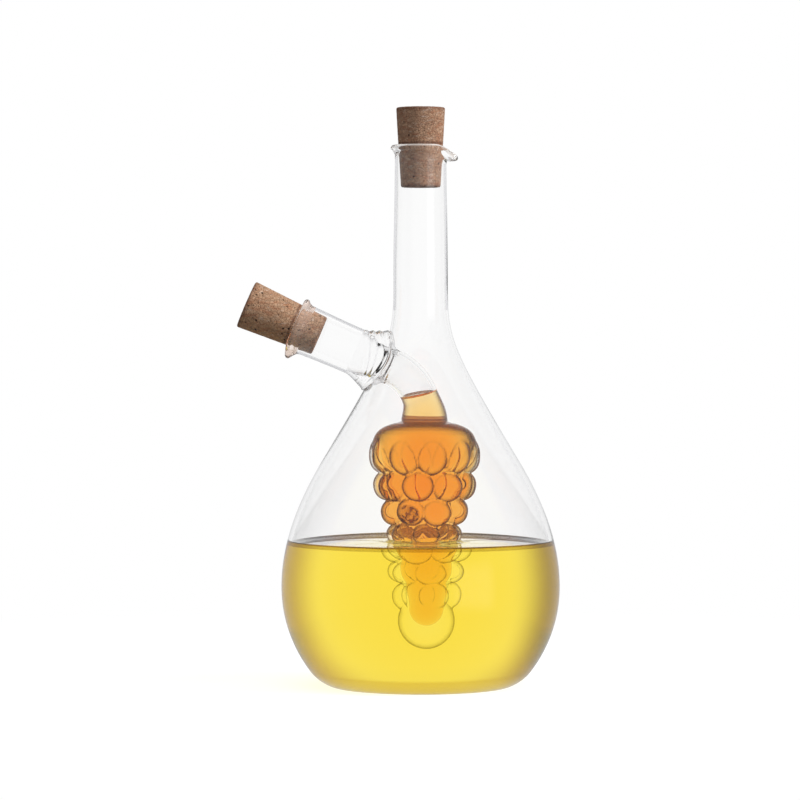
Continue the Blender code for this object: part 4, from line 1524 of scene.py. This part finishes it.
@dataclass
class Oil:
    """The oil in the belly: its body, hollowed by the bunch, and its surface with a meniscus.

    The body's top lies hidden a hair below the surface. The rows of the surface from the first to
    the last of the level rows have the finish of its middle, the others that of its raised edge.
    """

    effects: Effects
    flask: Flask
    bunch: Bunch
    level: float
    climb: float = 1.1 * MM
    climb_reach: float = 1.5 * MM
    overlap: float = 0.25 * MM
    hidden: float = 0.03 * MM
    edge_gap: float = 0.3 * MM
    level_rows: tuple[int, int] = (5, 12)

    def line(self) -> float:
        """Height of the oil's edge on the glass."""
        return self.level + self.climb

    def surface_rings(self, inner: np.ndarray, outer: float, drop: float) -> np.ndarray:
        """Rings of the surface from the bunch out to the flask.

        Args:
            inner: Radius of the bunch's outline in each direction.
            outer: Radius of the flask's lining at the oil's edge.
            drop: How far the rings lie below the surface.

        Returns:
            The rings.
        """
        turn = self.bunch.turn()
        start = round_axis(inner, turn, self.level, self.bunch.spout.vessel_offset)
        end = round_axis(outer, turn, self.level)
        away = np.linalg.norm(end - start, axis=1)
        near = np.linspace(0.0, 3.5, 9)[:, None] * self.climb_reach / away
        share = np.concatenate([near, 1.0 - near[::-1]])
        rings = blend(start, end, share[..., None])
        gap = np.minimum(share, 1.0 - share) * away
        rings[..., 2] += self.climb * np.exp(-gap / self.climb_reach) - drop
        return rings

    def cavity(self) -> np.ndarray:
        """Rings of the hollow that the bunch leaves in the oil, from its lower end to the surface.

        Returns:
            The rings.
        """
        rings, _ = self.bunch.outer_rings()
        offset = self.bunch.spout.vessel_offset
        radius = np.hypot(rings[..., 0] - offset, rings[..., 1])
        height = np.maximum.accumulate(rings[..., 2], axis=0)
        levels = blend(rings[0, 0, 2], self.line(), np.linspace(0.0, 1.0, 90) ** 1.3)
        hollow = np.stack([np.interp(levels, *column) for column in zip(height.T, radius.T)], axis=1)
        hollow = np.maximum(hollow - self.overlap, 0.0)
        hollow[0] = 0.0
        return round_axis(hollow, self.bunch.turn(), levels[:, None], offset)

    def build(self) -> None:
        """Builds the body and the surface."""
        cavity = self.cavity()
        brink = np.hypot(cavity[-1, :, 0] - self.bunch.spout.vessel_offset, cavity[-1, :, 1])
        lining = self.flask.lining()
        edge = float(np.interp(self.line(), lining[:, 1], lining[:, 0]))
        under = lining[lining[:, 1] < self.line() - self.edge_gap]
        under = joined(under, np.array([(edge, self.line())]))
        wall = under + np.concatenate([[(0.0, -self.overlap)], outward(under)[1:] * self.overlap])
        top = self.surface_rings(brink, edge + self.overlap, self.hidden)[::-1]
        rings = np.concatenate([turned(wall, self.bunch.sides, start=np.pi), top, cavity[::-1]])
        seat(skin("oil_body", rings, self.effects.materials(OIL)), "glass", "oil", "oil")
        rings = self.surface_rings(brink + self.overlap, edge, 0.0)[::-1]
        first, last = self.level_rows
        materials = self.effects.materials(OIL_TOP, OIL_EDGE)
        surface = skin("oil_surface", rings, materials, lambda rows, middles: (rows < first) | (rows > last))
        seat(surface, "glass", "oil")


@dataclass
class Vinegar:
    """The vinegar in the bunch and in the foot of the elbow.

    The body's top lies hidden a hair below the surface, whose first rows have the finish of its
    raised edge.
    """

    effects: Effects
    vessel: VinegarVessel
    line: VinegarLine
    climb: float = 1.1 * MM
    climb_reach: float = 0.9 * MM
    overlap: float = 0.05 * MM
    hidden: float = 0.03 * MM
    edge_rows: int = 5

    def cap(self, edge: np.ndarray, drop: float) -> np.ndarray:
        """Rings of the surface from its edge on the glass to its middle.

        Args:
            edge: Points of the edge, which lies at the top of the meniscus.
            drop: How far the rings lie below the surface.

        Returns:
            The rings.
        """
        middle = edge.mean(axis=0)
        share = np.array([1.0, 0.97, 0.93, 0.89, 0.84, 0.78, 0.7, 0.55, 0.3, 0.0])[:, None]
        rings = blend(middle, edge, share[..., None])
        away = np.linalg.norm(edge - middle, axis=1)
        rings[..., 2] -= self.climb * (1.0 - np.exp(-(1.0 - share) * away / self.climb_reach)) + drop
        rings[-1] = rings[-1].mean(axis=0)
        return rings

    def column(self, inset: float, steps: int) -> np.ndarray:
        """Rings of the vinegar in the elbow, from its surface down.

        Args:
            inset: How far they lie inside the elbow's outer wall.
            steps: Number of steps between them.

        Returns:
            The rings.
        """
        wall = self.vessel.spout.elbow_rings(inset)
        return split_columns(wall, self.line.over(wall), 4, steps)[1]

    def build(self) -> None:
        """Builds the body and the surface."""
        wall = self.vessel.spout.elbow_wall
        column = self.column(wall - self.overlap, 10)
        bunch = self.vessel.bunch.inner_rings(self.overlap)
        rings = np.concatenate([bunch, column[::-1][1:], self.cap(column[0], self.hidden)[1:]])
        body = skin("vinegar_body", rings, self.effects.materials(VINEGAR))
        seat(body, "glass", "vinegar", "vinegar")
        cap = self.cap(self.column(wall, 4)[0], 0.0)
        materials = self.effects.materials(VINEGAR_TOP, MENISCUS)
        surface = skin("vinegar_surface", cap, materials, lambda rows, middles: rows < self.edge_rows)
        seat(surface, "glass", "vinegar")


@dataclass
class Cork:
    """A tapered pressed cork with chamfered ends, pits and a grainy skin.

    It is darker towards its ends, and a painted shadow darkens it along the line where it meets the rim.
    """

    effects: Effects
    name: str
    finish: CorkFinish
    matrix: Matrix
    seed: int
    seated: float
    length: float = 28.6 * MM
    top_radius: float = 8.75 * MM
    end_radius: float = 7.20 * MM
    chamfer: float = 0.5 * MM
    grain: float = 0.10 * MM
    pits: int = 80
    pit_radius: Pair = (0.18 * MM, 0.45 * MM)
    pit_depth: Pair = (0.2 * MM, 0.4 * MM)
    highest: float = 0.02 * MM
    smooth_middle: float = 2.0 * MM
    dark_end_reach: float = 1.9 * MM
    seat_shadow_width: float = 0.75 * MM
    step: float = 0.36 * MM
    sides: int = 180

    def outline(self) -> np.ndarray:
        """Outline from the middle of the small end to the middle of the large end.

        Returns:
            Radius and height of each point.
        """
        edge, bevel = self.chamfer, 0.3 * self.chamfer
        low, high, top = self.end_radius, self.top_radius, self.length
        start = [(0.0, 0.0), (low - edge, 0.0), (low - bevel, bevel), (low, edge)]
        end = [(high, top - edge), (high - bevel, top - bevel), (high - edge, top), (0.0, top)]
        return evenly(np.array(start + end), self.step)

    def relief(self, rings: np.ndarray) -> np.ndarray:
        """How far the grain and the pits move the skin in or out.

        Args:
            rings: Rings of the smooth cork.

        Returns:
            The height over each point.
        """
        shift = Vector((self.seed * 7.3, 0.0, 0.0))
        lift = np.zeros(rings.shape[:2])
        for row, side in np.ndindex(lift.shape):
            place = Vector(rings[row, side] * 1000.0) + shift
            lift[row, side] = noise.noise(place * 0.9) * 0.7 + noise.noise(place * 2.3) * 0.5
        lift *= self.grain
        dice = np.random.default_rng(self.seed)
        for row in dice.integers(0, len(rings), self.pits):
            side = dice.integers(0, self.sides)
            size = dice.uniform(*self.pit_radius)
            away = np.linalg.norm(rings - rings[row, side], axis=2)
            lift -= dice.uniform(*self.pit_depth) * ease(1.0 - away / size)
        lift[0] = lift[-1] = 0.0
        return lift

    def build(self) -> None:
        """Builds the cork."""
        outline = self.outline()
        normals = outward(outline)
        rings = turned(outline, self.sides)
        highest = np.where(np.abs(normals[:, 1:]) > 0.5, 0.0, self.highest)
        lift = np.minimum(self.relief(rings), highest) * ease(outline[:, :1] / self.smooth_middle)
        rings += round_axis(lift * normals[:, :1], full_turn(self.sides), lift * normals[:, 1:])
        piece = skin(self.name + "_body", placed(rings, self.matrix), self.effects.materials(self.finish))
        height = outline[:, 1]
        # painted shadow: a dark line where the cork meets the rim; the ends are darker too
        ends = ease(1.0 - np.minimum(height, self.length - height) / self.dark_end_reach)
        line = ease(1.0 - np.abs(height - self.seated) / self.seat_shadow_width)
        shadow_and_ends = np.repeat(np.maximum(0.75 * ends, line)[1:-1], self.sides)
        mark(piece, SHADOW_AND_ENDS, np.concatenate([[0.3], shadow_and_ends, [0.3]]))
        seat(piece, self.name, self.name, self.name)


def aimed(name: str, data: bpy.types.ID, place: Spot, target: Spot) -> bpy.types.Object:
    """Puts a camera or a lamp into the scene, facing a target.

    Args:
        name: Name of the object.
        data: Its camera or lamp data.
        place: Where it stands.
        target: Point that it faces.

    Returns:
        The object.
    """
    thing = shown(name, data)
    thing.location = place
    thing.rotation_euler = (Vector(target) - Vector(place)).to_track_quat("-Z", "Y").to_euler()
    return thing


@dataclass(frozen=True)
class Card:
    """A dark card beside the bottle, by the cosine of the angle from its middle to its soft edge."""

    heading: Spot
    start: float
    end: float
    level: float


@dataclass
class Studio:
    """White sweep, soft lamps, dark cards and the camera of the photograph.

    A mirror is how bright the backdrop's mirror image is, in front of the bottle and behind it. A span,
    and what is named for a side of the window or canopy, is the part of a ray's direction over which
    the brightness changes.
    """

    lens: float = 162.9
    stand: Spot = (-7.4 * MM, -1.30, 128.0 * MM)
    aim: Spot = (-7.4 * MM, 0.0, 103.0 * MM)
    lamp_aim: Spot = (0.0, 0.0, 0.11)
    fill: float = 0.42
    zenith: float = 0.75
    zenith_span: Pair = (0.30, 0.85)
    mirror: Pair = (0.60, 0.68)
    mirror_span: Pair = (0.55, 0.97)
    window: float = 2.2
    window_heading: Spot = (0.707, -0.707, 0.0)
    window_across: Pair = (0.93, 0.99)
    window_foot: Pair = (-0.34, -0.12)
    window_head: Pair = (0.12, 0.34)
    canopy: float = 1.2
    canopy_behind: Pair = (0.30, 0.45)
    canopy_over: Pair = (0.55, 0.70)
    cards: tuple[Card, ...] = (
        Card((1.0, 0.0, 0.0), 0.50, 0.90, 0.80),
        Card((-1.0, 0.0, 0.0), 0.42, 0.86, 0.52),
        Card((0.0, -1.0, 0.0), -0.1, 0.5, 0.75),
    )
    floor_glow: float = 0.66
    floor_albedo: float = 0.50
    floor_fade: Pair = (0.12, 0.36)
    floor_half: float = 6.0
    floor_height: float = -0.05 * MM

    def camera(self) -> None:
        """Places the camera."""
        data = bpy.data.cameras.new("camera")
        data.lens = self.lens
        data.clip_start = 0.05
        data.clip_end = 50.0
        bpy.context.scene.camera = aimed("camera", data, self.stand, self.aim)

    def backdrop(self, sheet: Sheet, heading: Output, height: Output) -> Output:
        """How bright the backdrop is to what is seen through glass, between the dark cards.

        Args:
            sheet: The world's sheet.
            heading: Direction of the ray.
            height: Upward part of that direction.

        Returns:
            The brightness.
        """
        levels = []
        for card in self.cards:
            facing = sheet.vector("DOT_PRODUCT", heading, card.heading)
            levels.append(sheet.range(facing, card.start, card.end, (1.0, card.level)))
        return sheet.chain("MULTIPLY", sheet.range(height, *self.zenith_span, (1.0, self.zenith)), *levels)

    def mirrored(self, sheet: Sheet, heading: Output, depth: Output, height: Output) -> Output:
        """How bright the mirror image is: faint, but for a tall window at the front right and a canopy.

        Args:
            sheet: The world's sheet.
            heading: Direction of the ray.
            depth: Part of that direction away from the camera.
            height: Upward part of that direction.

        Returns:
            The brightness.
        """
        flat = sheet.vector("NORMALIZE", sheet.vector("MULTIPLY", heading, (1.0, 1.0, 0.0)))
        toward = sheet.vector("DOT_PRODUCT", flat, self.window_heading)
        across = sheet.range(toward, *self.window_across)
        over_foot = sheet.range(height, *self.window_foot)
        under_head = sheet.range(height, *self.window_head, (1.0, 0.0))
        window = sheet.chain("MULTIPLY", across, self.window, over_foot, under_head)
        behind = sheet.range(depth, *self.canopy_behind)
        overhead = sheet.range(height, *self.canopy_over)
        canopy = sheet.chain("MULTIPLY", behind, self.canopy, overhead)
        return sheet.chain("ADD", window, canopy, sheet.range(depth, *self.mirror_span, self.mirror))

    def world(self) -> None:
        """Shows white behind the bottle, and dark cards beside it to whatever is seen through glass.

        The cards give the glass its grey outlines, as in a photograph of glass on a white table.
        """
        world = bpy.data.worlds.new("studio")
        bpy.context.scene.world = world
        world.use_nodes = True
        sheet = Sheet(world.node_tree)
        rays = sheet.add("LightPath").outputs
        through = rays["Is Transmission Ray"]
        heading = sheet.add("TexCoord").outputs["Generated"]
        _, depth, height = sheet.add("SeparateXYZ", {0: heading}).outputs
        only_mirrored = sheet.math("SUBTRACT", rays["Is Glossy Ray"], through)
        mirrored = sheet.math("MULTIPLY", self.mirrored(sheet, heading, depth, height), only_mirrored)
        seen = sheet.math("MULTIPLY", through, self.backdrop(sheet, heading, height))
        matt = sheet.math("MULTIPLY", rays["Is Diffuse Ray"], self.fill)
        level = sheet.chain("ADD", seen, sheet.math("MAXIMUM", mirrored, 0.0), matt)
        level = sheet.math("MAXIMUM", level, rays["Is Camera Ray"])
        background = sheet.add("Background", {"Color": WHITE, "Strength": level})
        sheet.add("OutputWorld", {"Surface": background.outputs[0]})

    def floor(self) -> None:
        """Lays the white floor, which keeps the bottle's shadow and isn't there for its glass."""
        material, sheet = new_material("white sweep")
        rays = sheet.add("LightPath").outputs
        eye = rays["Is Camera Ray"]
        matt = sheet.add("BsdfDiffuse", {"Color": (self.floor_albedo,) * 3})
        glow_level = sheet.math("MULTIPLY", eye, self.floor_glow)
        glow = sheet.add("Emission", {"Color": WHITE, "Strength": glow_level})
        lit = sheet.add("AddShader", {0: matt.outputs[0], 1: glow.outputs[0]})
        white = sheet.add("Emission", {"Color": WHITE, "Strength": eye})
        far = sheet.range(sheet.vector("LENGTH", sheet.place()), *self.floor_fade)
        by_glass = sheet.math("MAXIMUM", rays["Is Transmission Ray"], rays["Is Glossy Ray"])
        mixed = sheet.either(by_glass, sheet.either(far, lit, white), sheet.clear())
        sheet.add("OutputMaterial", {"Surface": mixed.outputs[0]})
        material.cycles.emission_sampling = "NONE"
        mesh = bpy.data.meshes.new("sweep")
        low, high = -self.floor_half, self.floor_half
        corners = [(low, low, 0.0), (high, low, 0.0), (high, high, 0.0), (low, high, 0.0)]
        mesh.from_pydata(corners, [], [(0, 1, 2, 3)])
        mesh.materials.append(material)
        sweep = shown("sweep", mesh)
        sweep.location.z = self.floor_height

    def lamp(self, name: str, size: Pair, place: Spot, power: float) -> None:
        """Adds a soft box that faces the bottle and doesn't show in the picture.

        Args:
            name: Name of the lamp.
            size: Its width and height.
            place: Where it stands.
            power: Its power in watts.
        """
        data = bpy.data.lights.new(name, "AREA")
        data.shape = "RECTANGLE"
        data.size, data.size_y = size
        data.energy = power
        lamp = aimed(name, data, place, self.lamp_aim)
        lamp.visible_camera = lamp.visible_glossy = lamp.visible_transmission = False

    def build(self) -> None:
        """Sets up everything round the bottle."""
        scene = bpy.context.scene
        scene.view_settings.view_transform = "Standard"
        scene.cycles.max_bounces = 64
        scene.cycles.transmission_bounces = 64
        scene.cycles.glossy_bounces = 16
        scene.cycles.transparent_max_bounces = 64
        self.camera()
        self.world()
        self.floor()
        self.lamp("key", (0.30, 0.9), (1.25, -0.38, 0.50), 22.0)
        self.lamp("top", (0.8, 0.5), (-0.1, -0.4, 1.2), 5.0)


VINEGAR_RISE = 0.6 * MM
RIM_RISE = 0.5 * MM
SPOUT_CORK_FOOT = 9.9 * MM
SPOUT_CORK_SEATED = 10.6 * MM


def main() -> None:
    """Builds the bottle's looks, piece by piece, and the studio round it."""
    logging.basicConfig(level=logging.INFO, format="%(name)s: %(message)s")
    effects = Effects()
    flask = Flask(effects)
    spout = Spout(flask)
    bunch = Bunch(spout)
    oil = Oil(effects, flask, bunch, level=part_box("oil")[1].z)
    line = VinegarLine(level=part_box("vinegar")[1].z + VINEGAR_RISE)
    vessel = VinegarVessel(effects, spout, bunch)
    flask.build(oil.line(), spout.hole_plug())
    vessel.build(oil.line(), line)
    oil.build()
    Vinegar(effects, vessel, line).build()
    neck_seat = Matrix.Translation((0.0, 0.0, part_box("neck_cork")[0].z))
    seated = flask.mouth_height + RIM_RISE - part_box("neck_cork")[0].z
    Cork(effects, "neck_cork", NECK_CORK, neck_seat, seed=3, seated=seated).build()
    spout_seat = spout.matrix() @ Matrix.Translation((0.0, 0.0, spout.reach - SPOUT_CORK_FOOT))
    Cork(effects, "spout_cork", SPOUT_CORK, spout_seat, seed=8, seated=SPOUT_CORK_SEATED).build()
    Studio().build()


if __name__ == "__main__":
    main()
